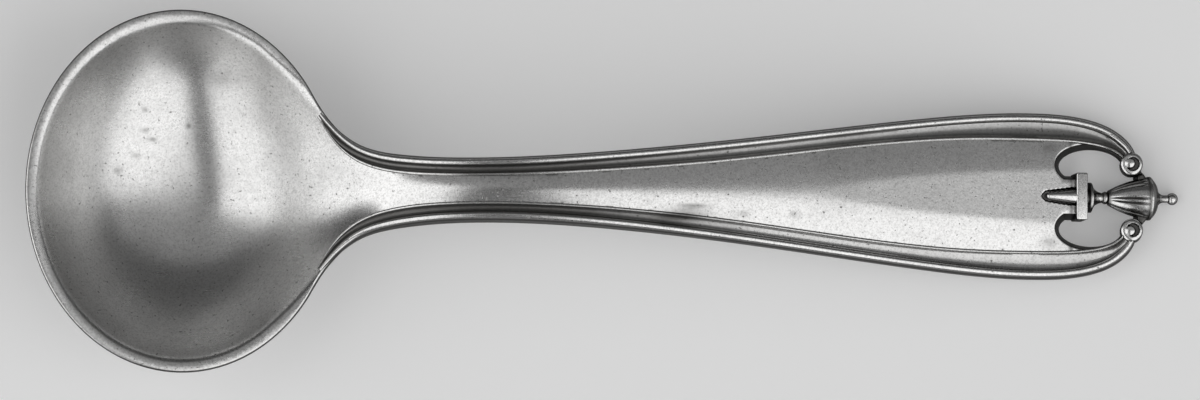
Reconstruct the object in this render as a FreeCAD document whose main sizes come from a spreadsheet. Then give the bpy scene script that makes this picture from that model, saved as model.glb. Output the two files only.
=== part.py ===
import FreeCAD, Part
import Sketcher
import math
import os

# A die-struck silver salt spoon, made as one piece. X runs along the spoon from the bowl
# to the end of the handle, Y across it and Z up from the table it lies on.
# The origin is on the table, under the middle of the spoon's length.

Vector = FreeCAD.Vector
doc = FreeCAD.newDocument("salt_spoon")

# Driving sizes in millimetres, with what each one means
SIZES = [
    ("spoon_length", 63.5, "overall length, bowl tip to finial ball"),
    ("bowl_length", 17.1, "bowl outline along the spoon"),
    ("bowl_width", 20.0, "bowl outline across the spoon"),
    ("bowl_depth", 5.0, "rim plane down to the inside of the bowl"),
    ("bowl_wall", 0.8, "metal under the middle of the bowl"),
    ("rim_width", 0.6, "flat lip seen from above"),
    ("rim_edge", 0.5, "height of the lip's outer edge"),
    ("rim_slope", 0.1, "fall of the rim towards the handle, per mm"),
    ("bowl_fullness", 2.4, "power of the bowl's curve: 2 is a parabola"),
    ("neck_flow", 3.0, "how far the bowl and the stem ease into each other"),
    ("shoulder_reach", 1.3, "bowl outline to the middle of the shoulder curve"),
    ("shoulder_width", 5.1, "stem at the middle of the shoulder curve"),
    ("neck_from_bowl", 7.3, "bowl outline to the narrowest place of the stem"),
    ("neck_width", 3.46, "stem at its narrowest"),
    ("middle_width", 5.94, "handle halfway between neck and widest place"),
    ("handle_width", 9.16, "handle at its widest"),
    ("wide_from_end", 7.7, "widest place to the finial's tip"),
    ("end_squareness", 2.2, "power of the end curve: 2 is an ellipse"),
    ("arch_height", 7.4, "top of the handle's arch above the table"),
    ("arch_from_neck", 1.6, "neck to the top of the arch"),
    ("rest_from_end", 1.2, "where the handle's end rests, to the finial's tip"),
    ("neck_thickness", 2.1, "edge of the handle at the neck"),
    ("middle_thickness", 1.4, "edge of the handle halfway"),
    ("end_thickness", 1.15, "edge of the handle at its wide end"),
    ("panel_drop", 0.22, "bead crest down to the edge of the panel"),
    ("neck_crown", 0.10, "rise of the panel's middle at the neck"),
    ("end_crown", 0.28, "rise of the panel's middle at the wide end"),
    ("back_crown", 0.15, "swell of the back over its edges"),
    ("neck_moulding", 1.05, "edge moulding across, at the neck"),
    ("end_moulding", 1.35, "edge moulding across, at the wide end"),
    ("bead_width", 0.46, "outer bead of the moulding"),
    ("bead_round", 0.26, "height of the bead's rounding"),
    ("thread_width", 0.20, "inner thread of the moulding"),
    ("thread_rise", 0.12, "thread above the panel"),
    ("cove_depth", 0.16, "hollow between bead and thread"),
    ("ledge", 0.05, "edge of the plate outside the bead"),
    ("moulding_root", 0.30, "moulding sunk into the plate"),
    ("window_length", 3.94, "each piercing along the handle"),
    ("window_width", 2.30, "each piercing across the handle"),
    ("window_from_end", 4.85, "middle of the piercings to the finial's tip"),
    ("window_spacing", 3.50, "between the middles of the two piercings"),
    ("tongue_width", 2.00, "panel between the piercings, under the spike"),
    ("volute_radius", 0.63, "scroll that ends each arm"),
    ("volute_from_end", 2.59, "scroll centre to the finial's tip"),
    ("volute_spacing", 3.66, "between the two scroll centres"),
    ("volute_roll", 0.24, "rolled edge of the scroll"),
    ("volute_rise", 0.34, "scroll above the edge of the handle"),
    ("boss_radius", 0.30, "button in the middle of the scroll"),
    ("tail_from_end", 1.70, "end of the plate under the finial, to the finial's tip"),
    ("tail_length", 0.55, "plate left between the scrolls under the finial"),
    ("ball_radius", 0.33, "ball on the lid"),
    ("lid_neck", 0.20, "radius of the neck under the ball"),
    ("lid_from_end", 0.85, "top of the lid to the finial's tip"),
    ("lid_length", 0.71, "ogee lid"),
    ("lid_swell", 1.0, "radius of the lid's bulging lower part"),
    ("urn_radius", 1.21, "urn at its shoulder"),
    ("urn_lift", 0.60, "finial's axis above its flat back"),
    ("band_length", 0.22, "plain band at the shoulder"),
    ("band_step", 0.06, "step from the band in to the fluted body"),
    ("body_length", 2.19, "fluted body"),
    ("collar_radius", 0.27, "ends of the collar under the body"),
    ("collar_length", 0.32, "collar under the body"),
    ("foot_length", 0.64, "flare of the foot"),
    ("foot_radius", 0.82, "disc of the foot"),
    ("foot_disc", 0.17, "thickness of that disc"),
    ("core_radius", 0.42, "core between the foot and the plinth"),
    ("plinth_gap", 0.21, "foot to plinth"),
    ("plinth_width", 2.60, "plinth across the spoon"),
    ("plinth_length", 0.62, "plinth along the spoon"),
    ("plinth_height", 1.00, "plinth above the finial's axis"),
    ("spike_length", 1.67, "spike that lies on the panel"),
    ("spike_radius", 0.42, "spike where it meets the plinth"),
    ("spike_tip", 0.19, "radius of the spike's rounded tip"),
    ("spike_lift", 0.42, "spike's axis above the finial's"),
    ("flute_pairs", 6, "pairs of fine grooves round the body"),
    ("flute_angle", 7, "each groove, in degrees round the body"),
    ("flute_gap", 17, "middle to middle of the two grooves of a pair, in degrees"),
    ("flute_turn", 12, "the uppermost pair from straight up, in degrees"),
]


def make_sheet():
    sheet = doc.addObject("Spreadsheet::Sheet", "sizes")
    for row, (alias, value, meaning) in enumerate(SIZES, start=1):
        sheet.set("A%d" % row, meaning)
        sheet.set("B%d" % row, str(value))
        sheet.setAlias("B%d" % row, alias)
    doc.recompute()
    return sheet


sheet = make_sheet()
SIZE = {alias: float(sheet.get(alias)) for alias, value, meaning in SIZES}


def smooth_line(points):
    """The height of a smooth curve through a few (x, height) points, as a function of x."""
    curve = Part.BSplineCurve()
    curve.interpolate(
        Points=[Vector(x, 0, height) for x, height in points],
        Parameters=[x for x, height in points],
    )
    return lambda x: curve.value(x).z


def spread(first, last, count):
    """Evenly spaced values from first to last."""
    return [first + (last - first) * step / (count - 1) for step in range(count)]


def bound(item, **formulas):
    """Bind properties of an object to the sheet, with the sheet's names written plainly."""
    for name, formula in formulas.items():
        item.setExpression(name.replace("__", "."), formula)
    return item


# Places along the spoon
half_length = SIZE["spoon_length"] / 2
half_bowl_length = SIZE["bowl_length"] / 2
half_bowl_width = SIZE["bowl_width"] / 2
bowl_x = -half_length + half_bowl_length
bowl_end_x = bowl_x + half_bowl_length
stem_start_x = bowl_end_x - 4.0
shoulder_x = bowl_end_x + SIZE["shoulder_reach"]
rim_end_x = shoulder_x + 2.2
neck_x = bowl_end_x + SIZE["neck_from_bowl"]
apex_x = neck_x + SIZE["arch_from_neck"]
wide_x = half_length - SIZE["wide_from_end"]
middle_x = (neck_x + wide_x) / 2
volute_x = half_length - SIZE["volute_from_end"]
volute_y = SIZE["volute_spacing"] / 2
rest_x = half_length - SIZE["rest_from_end"]
tail_x = half_length - SIZE["tail_from_end"]
plinth_x = half_length - sum(SIZE[name] for name in (
    "lid_from_end", "lid_length", "band_length", "body_length", "collar_length", "foot_length",
    "foot_disc", "plinth_gap"))
skin_start_x = -half_length - 2
skin_end_x = half_length + 1
blank_height = SIZE["arch_height"] + SIZE["bowl_depth"] + 2

# The bowl is deepest a little nearer the handle, because its rim falls that way
outer_depth = SIZE["bowl_depth"] + SIZE["bowl_wall"]
steepness = (outer_depth - SIZE["rim_edge"]) * SIZE["bowl_fullness"]
rim_fall = SIZE["rim_slope"] * half_bowl_length
lowest_share = (rim_fall / steepness) ** (1 / (SIZE["bowl_fullness"] - 1))
rim_height = outer_depth + rim_fall * lowest_share * (1 - 1 / SIZE["bowl_fullness"])


def rim_line(x):
    """Height of the bowl's rim."""
    return rim_height - SIZE["rim_slope"] * (x - bowl_x)


def make_edge_line():
    """Side view of the handle's edge: the rim's line, rising into the arch and falling to the end."""
    rise = SIZE["arch_height"]
    end = SIZE["end_thickness"] + SIZE["back_crown"]
    before = apex_x - bowl_end_x
    after = half_length - apex_x
    return smooth_line([
        (bowl_x, rim_line(bowl_x)),
        (stem_start_x, rim_line(stem_start_x)),
        (bowl_end_x - 1.5, rim_line(bowl_end_x - 1.5)),
        (bowl_end_x + 0.55 * before, rim_line(bowl_end_x) + 0.75 * (rise - rim_line(bowl_end_x))),
        (apex_x, rise),
        (apex_x + 0.38 * after, end + 0.76 * (rise - end)),
        (apex_x + 0.70 * after, end + 0.345 * (rise - end)),
        (rest_x, end),
        (skin_end_x, end - 0.25),
    ])


edge_line = make_edge_line()

# The edge thins from the neck towards the bowl's lip
edge_thickness = smooth_line([
    (skin_start_x, SIZE["rim_edge"]),
    (bowl_x, SIZE["rim_edge"]),
    (stem_start_x, SIZE["rim_edge"]),
    (bowl_end_x, 0.45 * SIZE["neck_thickness"]),
    (shoulder_x, 0.66 * SIZE["neck_thickness"]),
    ((shoulder_x + neck_x) / 2, 0.94 * SIZE["neck_thickness"]),
    (neck_x, SIZE["neck_thickness"]),
    (middle_x, SIZE["middle_thickness"]),
    (wide_x, SIZE["end_thickness"]),
    (skin_end_x, SIZE["end_thickness"]),
])


def edge_top(x):
    """Height of the upper edge all along the spoon."""
    if x < stem_start_x:
        return rim_line(x)
    return edge_line(x)


def back_line(x):
    """Height of the handle's back along its edges."""
    return edge_top(x) - edge_thickness(x)


def back_swell(x):
    """How far the middle of the back stands out: it stays thick where the edges thin at the bowl."""
    thinned = SIZE["neck_thickness"] - edge_thickness(x) if x < neck_x else 0.0
    return SIZE["back_crown"] + max(thinned, 0.0)


def make_half_width():
    """Half the handle's width in plan, all along it."""
    neck, middle, wide = (SIZE[name] / 2 for name in ("neck_width", "middle_width", "handle_width"))
    handle = wide_x - neck_x
    return smooth_line([
        (stem_start_x, 5.0),
        (bowl_end_x, 0.72 * SIZE["shoulder_width"]),
        (shoulder_x, SIZE["shoulder_width"] / 2),
        ((shoulder_x + neck_x) / 2, 1.12 * neck),
        (neck_x, neck),
        (neck_x + 0.23 * handle, neck + 0.26 * (middle - neck)),
        (middle_x, middle),
        (wide_x - 0.21 * handle, wide - 0.27 * (wide - middle)),
        (wide_x, wide),
        (skin_end_x, wide),
    ])


half_width = make_half_width()

moulding_width = smooth_line([
    (stem_start_x, 0.7 * SIZE["neck_moulding"]),
    (shoulder_x, 0.85 * SIZE["neck_moulding"]),
    (neck_x, SIZE["neck_moulding"]),
    (middle_x, (SIZE["neck_moulding"] + SIZE["end_moulding"]) / 2),
    (wide_x, SIZE["end_moulding"]),
    (skin_end_x, SIZE["end_moulding"]),
])

crown = smooth_line([
    (stem_start_x, -1.3),
    (bowl_end_x, -0.6),
    (shoulder_x + 1.2, -0.05),
    (neck_x - 1.0, SIZE["neck_crown"]),
    (neck_x + 4.0, SIZE["neck_crown"]),
    (middle_x, (SIZE["neck_crown"] + SIZE["end_crown"]) / 2),
    (wide_x, SIZE["end_crown"]),
    (skin_end_x, SIZE["end_crown"]),
])


def soft_lower(first, second, reach):
    """The lower of two heights, eased into each other where they are closer than reach."""
    nearness = max(reach - abs(first - second), 0.0) / reach
    return min(first, second) - nearness ** 3 * reach / 6


def bowl_share(x, y, half_along, half_across):
    """0 in the middle of the bowl, 1 on the ellipse with these half axes."""
    return math.hypot((x - bowl_x) / half_along, y / half_across) ** SIZE["bowl_fullness"]


def over_bowl(x):
    """Lifts the stem's faces out of the way over the far part of the bowl."""
    return 0.02 * max(bowl_x + 3.0 - x, 0.0) ** 3


def upper_height(x, y):
    """The struck upper face: the inside of the bowl, running up into the crowned panel."""
    share = bowl_share(x, y, half_bowl_length - SIZE["rim_width"], half_bowl_width - SIZE["rim_width"])
    bowl = rim_line(x) - SIZE["bowl_depth"] * (1 - share)
    place = max(x, stem_start_x)
    across = y / (half_width(place) - moulding_width(place))
    stem = edge_top(x) - SIZE["panel_drop"] + crown(place) * (1 - across * across) + over_bowl(x)
    return soft_lower(bowl, stem, SIZE["neck_flow"])


def lower_height(x, y):
    """The struck lower face: the outside of the bowl, running up into the back of the handle."""
    share = bowl_share(x, y, half_bowl_length, half_bowl_width)
    bowl = rim_line(x) - outer_depth + (outer_depth - SIZE["rim_edge"]) * share
    place = max(x, stem_start_x)
    across = y / half_width(place)
    back = back_line(x) - back_swell(place) * (1 - across * across) + over_bowl(x)
    return soft_lower(bowl, back, SIZE["neck_flow"])


skin_half_width = smooth_line([
    (skin_start_x, half_bowl_width + 1.5),
    (bowl_x, half_bowl_width + 1.5),
    (bowl_end_x - 2.5, half_bowl_width - 1.5),
    (shoulder_x + 1.0, SIZE["shoulder_width"] / 2 + 1.4),
    (neck_x, SIZE["neck_width"] / 2 + 1.0),
    (middle_x, SIZE["middle_width"] / 2 + 0.9),
    (wide_x, SIZE["handle_width"] / 2 + 0.9),
    (skin_end_x, SIZE["handle_width"] / 2 + 0.9),
])


def make_die(height_at, name, travel):
    """A die: the struck face whose height is given, carried up or down by its travel."""
    along = spread(skin_start_x, shoulder_x + 1.5, 12) + spread(shoulder_x + 4.5, skin_end_x, 7)
    across = spread(-half_bowl_width, half_bowl_width, 9)
    lines = []
    for place in across:
        share = place / half_bowl_width
        points = [Vector(x, share * skin_half_width(x), 0) for x in along]
        lines.append(through([Vector(p.x, p.y, height_at(p.x, p.y)) for p in points], along))
    poles = []
    for number in range(1, lines[0].NbPoles + 1):
        crossing = through([line.getPole(number) for line in lines], across)
        poles.append(crossing.getPoles())
    surface = Part.BSplineSurface()
    surface.buildFromPolesMultsKnots(
        poles, lines[0].getMultiplicities(), crossing.getMultiplicities(),
        lines[0].getKnots(), crossing.getKnots(), False, False, 3, 3)
    die = doc.addObject("Part::Feature", name)
    die.Shape = surface.toShape().extrude(Vector(0, 0, travel))
    return die


def make_rim_die():
    """What is cleared off above the bowl's rim and the neck's edges."""
    line = Part.BSplineCurve()
    line.interpolate([Vector(x, 0, edge_top(x)) for x in spread(skin_start_x, rim_end_x, 14)])
    top = blank_height + 1
    ends = [line.value(line.LastParameter), Vector(rim_end_x, 0, top), Vector(skin_start_x, 0, top),
            line.value(line.FirstParameter)]
    wire = Part.Wire([line.toShape(), Part.makePolygon(ends)])
    face = Part.Face(wire)
    die = doc.addObject("Part::Feature", "rim_die")
    die.Shape = face.extrude(Vector(0, SIZE["bowl_width"] + 4, 0))
    die.Placement.Base = Vector(0, -SIZE["bowl_width"] / 2 - 2, 0)
    return die


def edge_points():
    """Plan view of one edge, from the middle of the rim's lip round and into the scroll."""
    lip = SIZE["rim_width"] / 2
    start = math.radians(35)
    points = [
        (bowl_x + (half_bowl_length - lip) * math.cos(start), (half_bowl_width - lip) * math.sin(start)),
        (bowl_end_x - 0.6, 1.6 * SIZE["shoulder_width"] / 2),
        (shoulder_x, SIZE["shoulder_width"] / 2),
        ((shoulder_x + neck_x) / 2 - 0.8, 0.57 * SIZE["neck_width"]),
    ]
    for share in (0.0, 0.23, 0.5, 0.79):
        x = neck_x + share * (wide_x - neck_x)
        points.append((x, half_width(x)))
    reach = volute_x + 0.45 * SIZE["volute_radius"] - wide_x
    rise = SIZE["handle_width"] / 2 - volute_y
    power = 2 / SIZE["end_squareness"]
    for turn in (90, 62, 36, 14, 0):
        along = reach * math.cos(math.radians(turn)) ** power
        up = rise * math.sin(math.radians(turn)) ** power
        points.append((wide_x + along, volute_y + up))
    return points


def make_edge(side):
    """The edge on one side, 1 or -1, as a curve in plan."""
    curve = Part.BSplineCurve()
    curve.interpolate([Vector(x, side * y, 0) for x, y in edge_points()])
    return curve


def oval_block(name, x, y):
    """An upright oval block whose length and width in the sheet start with the given name."""
    length = "sizes.%s_length" % name
    width = "sizes.%s_width" % name
    plan = doc.addObject("Part::Ellipse", name + "_plan")
    bound(plan, MajorRadius="max(%s; %s) / 2" % (length, width))
    bound(plan, MinorRadius="min(%s; %s) / 2" % (length, width))
    turned = 90 if SIZE[name + "_width"] > SIZE[name + "_length"] else 0
    plan.Placement = FreeCAD.Placement(Vector(x, y, -1), FreeCAD.Rotation(Vector(0, 0, 1), turned))
    face = doc.addObject("Part::Face", name + "_face")
    face.Sources = [plan]
    block = doc.addObject("Part::Extrusion", name + "_block")
    block.Base = face
    block.Dir = Vector(0, 0, 1)
    block.LengthFwd = blank_height
    block.Solid = True
    return block


def make_blank():
    """The plan of the whole spoon without the finial, cut from thick sheet."""
    bowl_blank = oval_block("bowl", bowl_x, 0)
    upper = make_edge(1)
    lower = make_edge(-1)
    tail_y = 0.9 * SIZE["urn_radius"]
    start = upper.value(upper.FirstParameter)
    finish = upper.value(upper.LastParameter)
    tail = [finish, Vector(tail_x, tail_y, 0), Vector(tail_x, -tail_y, 0), Vector(finish.x, -finish.y, 0)]
    inner_x = start.x - 3
    root = [Vector(start.x, -start.y, 0), Vector(inner_x, -start.y, 0), Vector(inner_x, start.y, 0), start]
    wire = Part.Wire([upper.toShape(), Part.makePolygon(tail), lower.toShape(), Part.makePolygon(root)])
    stem_blank = doc.addObject("Part::Feature", "stem_blank")
    stem_blank.Shape = Part.Face(wire).extrude(Vector(0, 0, blank_height))
    stem_blank.Placement.Base = Vector(0, 0, -1)

    blank = doc.addObject("Part::MultiFuse", "blank")
    blank.Shapes = [bowl_blank, stem_blank]
    return blank


def bulge(first, last, height, count):
    """Points of a rounded or hollow line after its first point, whose middle passes the given height."""
    rise = height - (first.z + last.z) / 2
    points = []
    for step in range(1, count + 1):
        share = step / count
        point = first * (1 - share) + last * share
        point.z += 4 * share * (1 - share) * rise
        points.append(point)
    return points


def moulding_section(origin, inward, width, sink):
    """Bead, cove and thread across the edge at one place, closed by a root inside the plate."""

    def at(depth, height):
        point = origin + inward * depth
        return Vector(point.x, point.y, height)

    def plate(depth):
        point = origin + inward * depth
        return upper_height(point.x, point.y)

    scale = min(1.0, width / SIZE["neck_moulding"])
    crest = edge_top(origin.x + inward.x * width / 2) - sink
    bead = SIZE["bead_width"] * scale
    bead_round = SIZE["bead_round"] * scale
    thread = SIZE["thread_width"] * scale
    outer = SIZE["ledge"]
    thread_top = plate(width - thread / 2) + SIZE["thread_rise"] * scale - sink
    cove_end = width - thread
    cove_bottom = (crest - bead_round + thread_top) / 2 - SIZE["cove_depth"] * scale
    root = min(plate(outer), plate(width), cove_bottom) - SIZE["moulding_root"]
    foot = at(outer, crest - bead_round * 1.3)
    inner_foot = at(outer + bead, crest - bead_round)
    thread_foot = at(cove_end, thread_top - thread / 2)
    inside = at(width, thread_top - thread / 2)
    bead_line = bulge(foot, inner_foot, crest, 4)
    cove_line = bulge(inner_foot, thread_foot, cove_bottom, 3)
    thread_line = bulge(thread_foot, inside, thread_top, 2)
    return [at(outer, root), foot] + bead_line + cove_line + thread_line + [at(width, root)]


def through(points, parameters):
    """A smooth curve through the points, one at each parameter."""
    curve = Part.BSplineCurve()
    curve.interpolate(Points=points, Parameters=parameters)
    return curve


def swept_face(first, second):
    """The face between two smooth curves with the same parameters."""
    surface = Part.BSplineSurface()
    surface.buildFromPolesMultsKnots(
        [first.getPoles(), second.getPoles()], [2, 2], first.getMultiplicities(),
        [0.0, SIZE["thread_width"]], first.getKnots(), False, False, 1, 3)
    return surface.toShape()


def make_moulding(side):
    """The threaded moulding on one edge, from the bowl's lip to the scroll."""
    edge = make_edge(side)
    first = edge.FirstParameter
    last = edge.LastParameter
    length = edge.length()
    width_at = smooth_line([
        (0.0, 0.30), (0.03, 0.50), (0.08, 0.9 * SIZE["neck_moulding"]),
        (0.18, SIZE["neck_moulding"]), (0.5, (SIZE["neck_moulding"] + SIZE["end_moulding"]) / 2),
        (0.75, SIZE["end_moulding"]), (0.93, SIZE["end_moulding"]), (1.0, SIZE["volute_radius"]),
    ])
    shares = spread(0.0, 0.15, 6) + spread(0.24, 0.76, 4) + spread(0.84, 1.0, 7)
    sections = []
    # It fades into the lip at one end and into the scroll at the other
    for share in shares:
        parameter = edge.parameterAtDistance(share * length, first) if share < 1 else last
        origin = edge.value(parameter)
        tangent = edge.tangent(parameter)[0]
        inward = Vector(tangent.y, -tangent.x, 0) * side
        sink = 0.30 * max(0.0, 1 - share / 0.04) ** 2 + 0.25 * max(0.0, share / 0.04 - 24) ** 2
        sections.append(moulding_section(origin, inward, width_at(share), sink))
    distances = [share * length for share in shares]
    lines = [through(corner, distances) for corner in zip(*sections)]
    faces = [swept_face(line, lines[(place + 1) % len(lines)]) for place, line in enumerate(lines)]
    faces += [Part.Face(Part.makePolygon(section + section[:1])) for section in (sections[0], sections[-1])]
    skin = Part.Compound(faces)
    skin.sewShape(0.001)
    solid = Part.Solid(skin.Shells[0])
    if solid.Volume < 0:
        solid.reverse()
    moulding = doc.addObject("Part::Feature", "moulding_left" if side > 0 else "moulding_right")
    moulding.Shape = solid
    return moulding


def bent_edge(first, last, bend):
    """An arc between two corners, and which of its two ends lies on the first one."""
    chord = last - first
    outward = Vector(chord.y, -chord.x, 0).normalize() * math.copysign(1.0, bend)
    rise = math.sqrt(max(bend * bend - chord.Length ** 2 / 4, 0.0))
    centre = (first + last) / 2 - outward * rise
    circle = Part.Circle(centre, Vector(0, 0, 1), abs(bend))
    angles = [math.atan2(corner.y - centre.y, corner.x - centre.x) for corner in (first, last)]
    if bend > 0:
        return Part.ArcOfCircle(circle, angles[0], angles[1]), 1
    return Part.ArcOfCircle(circle, angles[1], angles[0]), 2


def draw(sketch, outline):
    """Draws a closed outline and ties it to the sheet.

    Each step holds the two formulas of a corner and, where an arc leads to the next corner,
    its radius: plus bulges to the right of the way drawn, minus to the left.
    """
    values = [[float(sheet.evalExpression(formula)) for formula in step] for step in outline]
    corners = [Vector(value[0], value[1], 0) for value in values]
    starts = []
    for number, value in enumerate(values):
        first = corners[number]
        last = corners[(number + 1) % len(corners)]
        edge, start = Part.LineSegment(first, last), 1
        if len(value) == 3:
            edge, start = bent_edge(first, last, value[2])
        sketch.addGeometry(edge, False)
        starts.append(start)
    for number, step in enumerate(outline):
        before = (number - 1) % len(outline)
        start = starts[number]
        sketch.addConstraint(Sketcher.Constraint("Coincident", before, 3 - starts[before], number, start))
        for kind, formula, value in zip(("DistanceX", "DistanceY"), step, values[number]):
            row = sketch.addConstraint(Sketcher.Constraint(kind, number, start, value))
            sketch.setExpression("Constraints[%d]" % row, formula)
        if len(step) == 3:
            row = sketch.addConstraint(Sketcher.Constraint("Radius", number, abs(values[number][2])))
            sketch.setExpression("Constraints[%d]" % row, "abs(%s)" % step[2])


def origin_plane(body, role):
    return [item for item in body.Origin.OriginFeatures if item.Role == role][0]


def new_sketch(body, role, name):
    sketch = body.newObject("Sketcher::SketchObject", name)
    sketch.AttachmentSupport = (origin_plane(body, role), [""])
    sketch.MapMode = "FlatFace"
    return sketch


def make_window_tool():
    """The two oval piercings and the clear space round the finial, less the panel's tongue."""
    place_x = half_length - SIZE["window_from_end"]
    tongue_end = plinth_x - SIZE["plinth_length"] / 2
    ovals = [oval_block("window", place_x, side * SIZE["window_spacing"] / 2) for side in (1, -1)]
    middle = doc.addObject("Part::Box", "finial_gap")
    bound(middle, Width="sizes.window_spacing")
    middle.Length = tail_x - SIZE["tail_length"] - tongue_end
    middle.Height = blank_height
    middle.Placement.Base = Vector(tongue_end, -SIZE["window_spacing"] / 2, -1)
    whole = doc.addObject("Part::MultiFuse", "window_whole")
    whole.Shapes = ovals + [middle]
    tongue = doc.addObject("Part::Box", "tongue")
    bound(tongue, Width="sizes.tongue_width")
    tongue.Length = 4
    tongue.Height = blank_height + 2
    tongue.Placement.Base = Vector(tongue_end - 4, -SIZE["tongue_width"] / 2, -2)
    tool = doc.addObject("Part::Cut", "window_tool")
    tool.Base = whole
    tool.Tool = tongue
    return tool


def turn(body, sketch, kind, name, angle):
    """Turns a profile about its own level axis, to add or to cut."""
    turned = body.newObject(kind, name)
    turned.Profile = sketch
    turned.ReferenceAxis = (sketch, ["H_Axis"])
    turned.Angle = angle
    body.Tip = turned
    return turned


def make_volute(side):
    """One scroll end: a rolled edge round a groove and a button."""
    body = doc.addObject("PartDesign::Body", "volute_left" if side > 0 else "volute_right")
    sketch = new_sketch(body, "XZ_Plane", "volute_profile")
    top = "sizes.end_thickness + sizes.volute_rise"
    draw(sketch, [
        ("0", "0"),
        ("sizes.volute_radius", "0"),
        ("sizes.volute_radius", top + " - sizes.volute_roll / 3"),
        ("sizes.volute_radius - sizes.volute_roll / 3", top),
        ("sizes.volute_radius - sizes.volute_roll * 2 / 3", top),
        ("sizes.boss_radius", top + " - sizes.volute_roll"),
        ("sizes.boss_radius", top + " - sizes.volute_roll / 2", "sizes.boss_radius * 1.45"),
        ("0", top + " - sizes.volute_roll / 2 + sizes.boss_radius * 0.4"),
    ])
    turned = body.newObject("PartDesign::Revolution", "scroll")
    turned.Profile = sketch
    turned.ReferenceAxis = (sketch, ["V_Axis"])
    turned.Angle = 360
    body.Tip = turned
    body.Placement.Base = Vector(volute_x, side * volute_y, back_line(volute_x))
    return body


# Two corners of a line that is drawn hollow or bulging in three straight turned facets:
# how far each has come along the axis and out from it, as shares of the whole way
HOLLOW = ((0.46, 0.17), (0.79, 0.50))
BULGING = ((0.33, 0.20), (0.67, 0.54))


def faceted(first, last, shares):
    """The corners, as formulas, of a faceted line from one corner to another, without its last one."""
    corners = [first]
    for pair in shares:
        corners.append(tuple("(%s) + ((%s) - (%s)) * %g" % (start, end, start, share)
                             for start, end, share in zip(first, last, pair)))
    return corners


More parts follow.
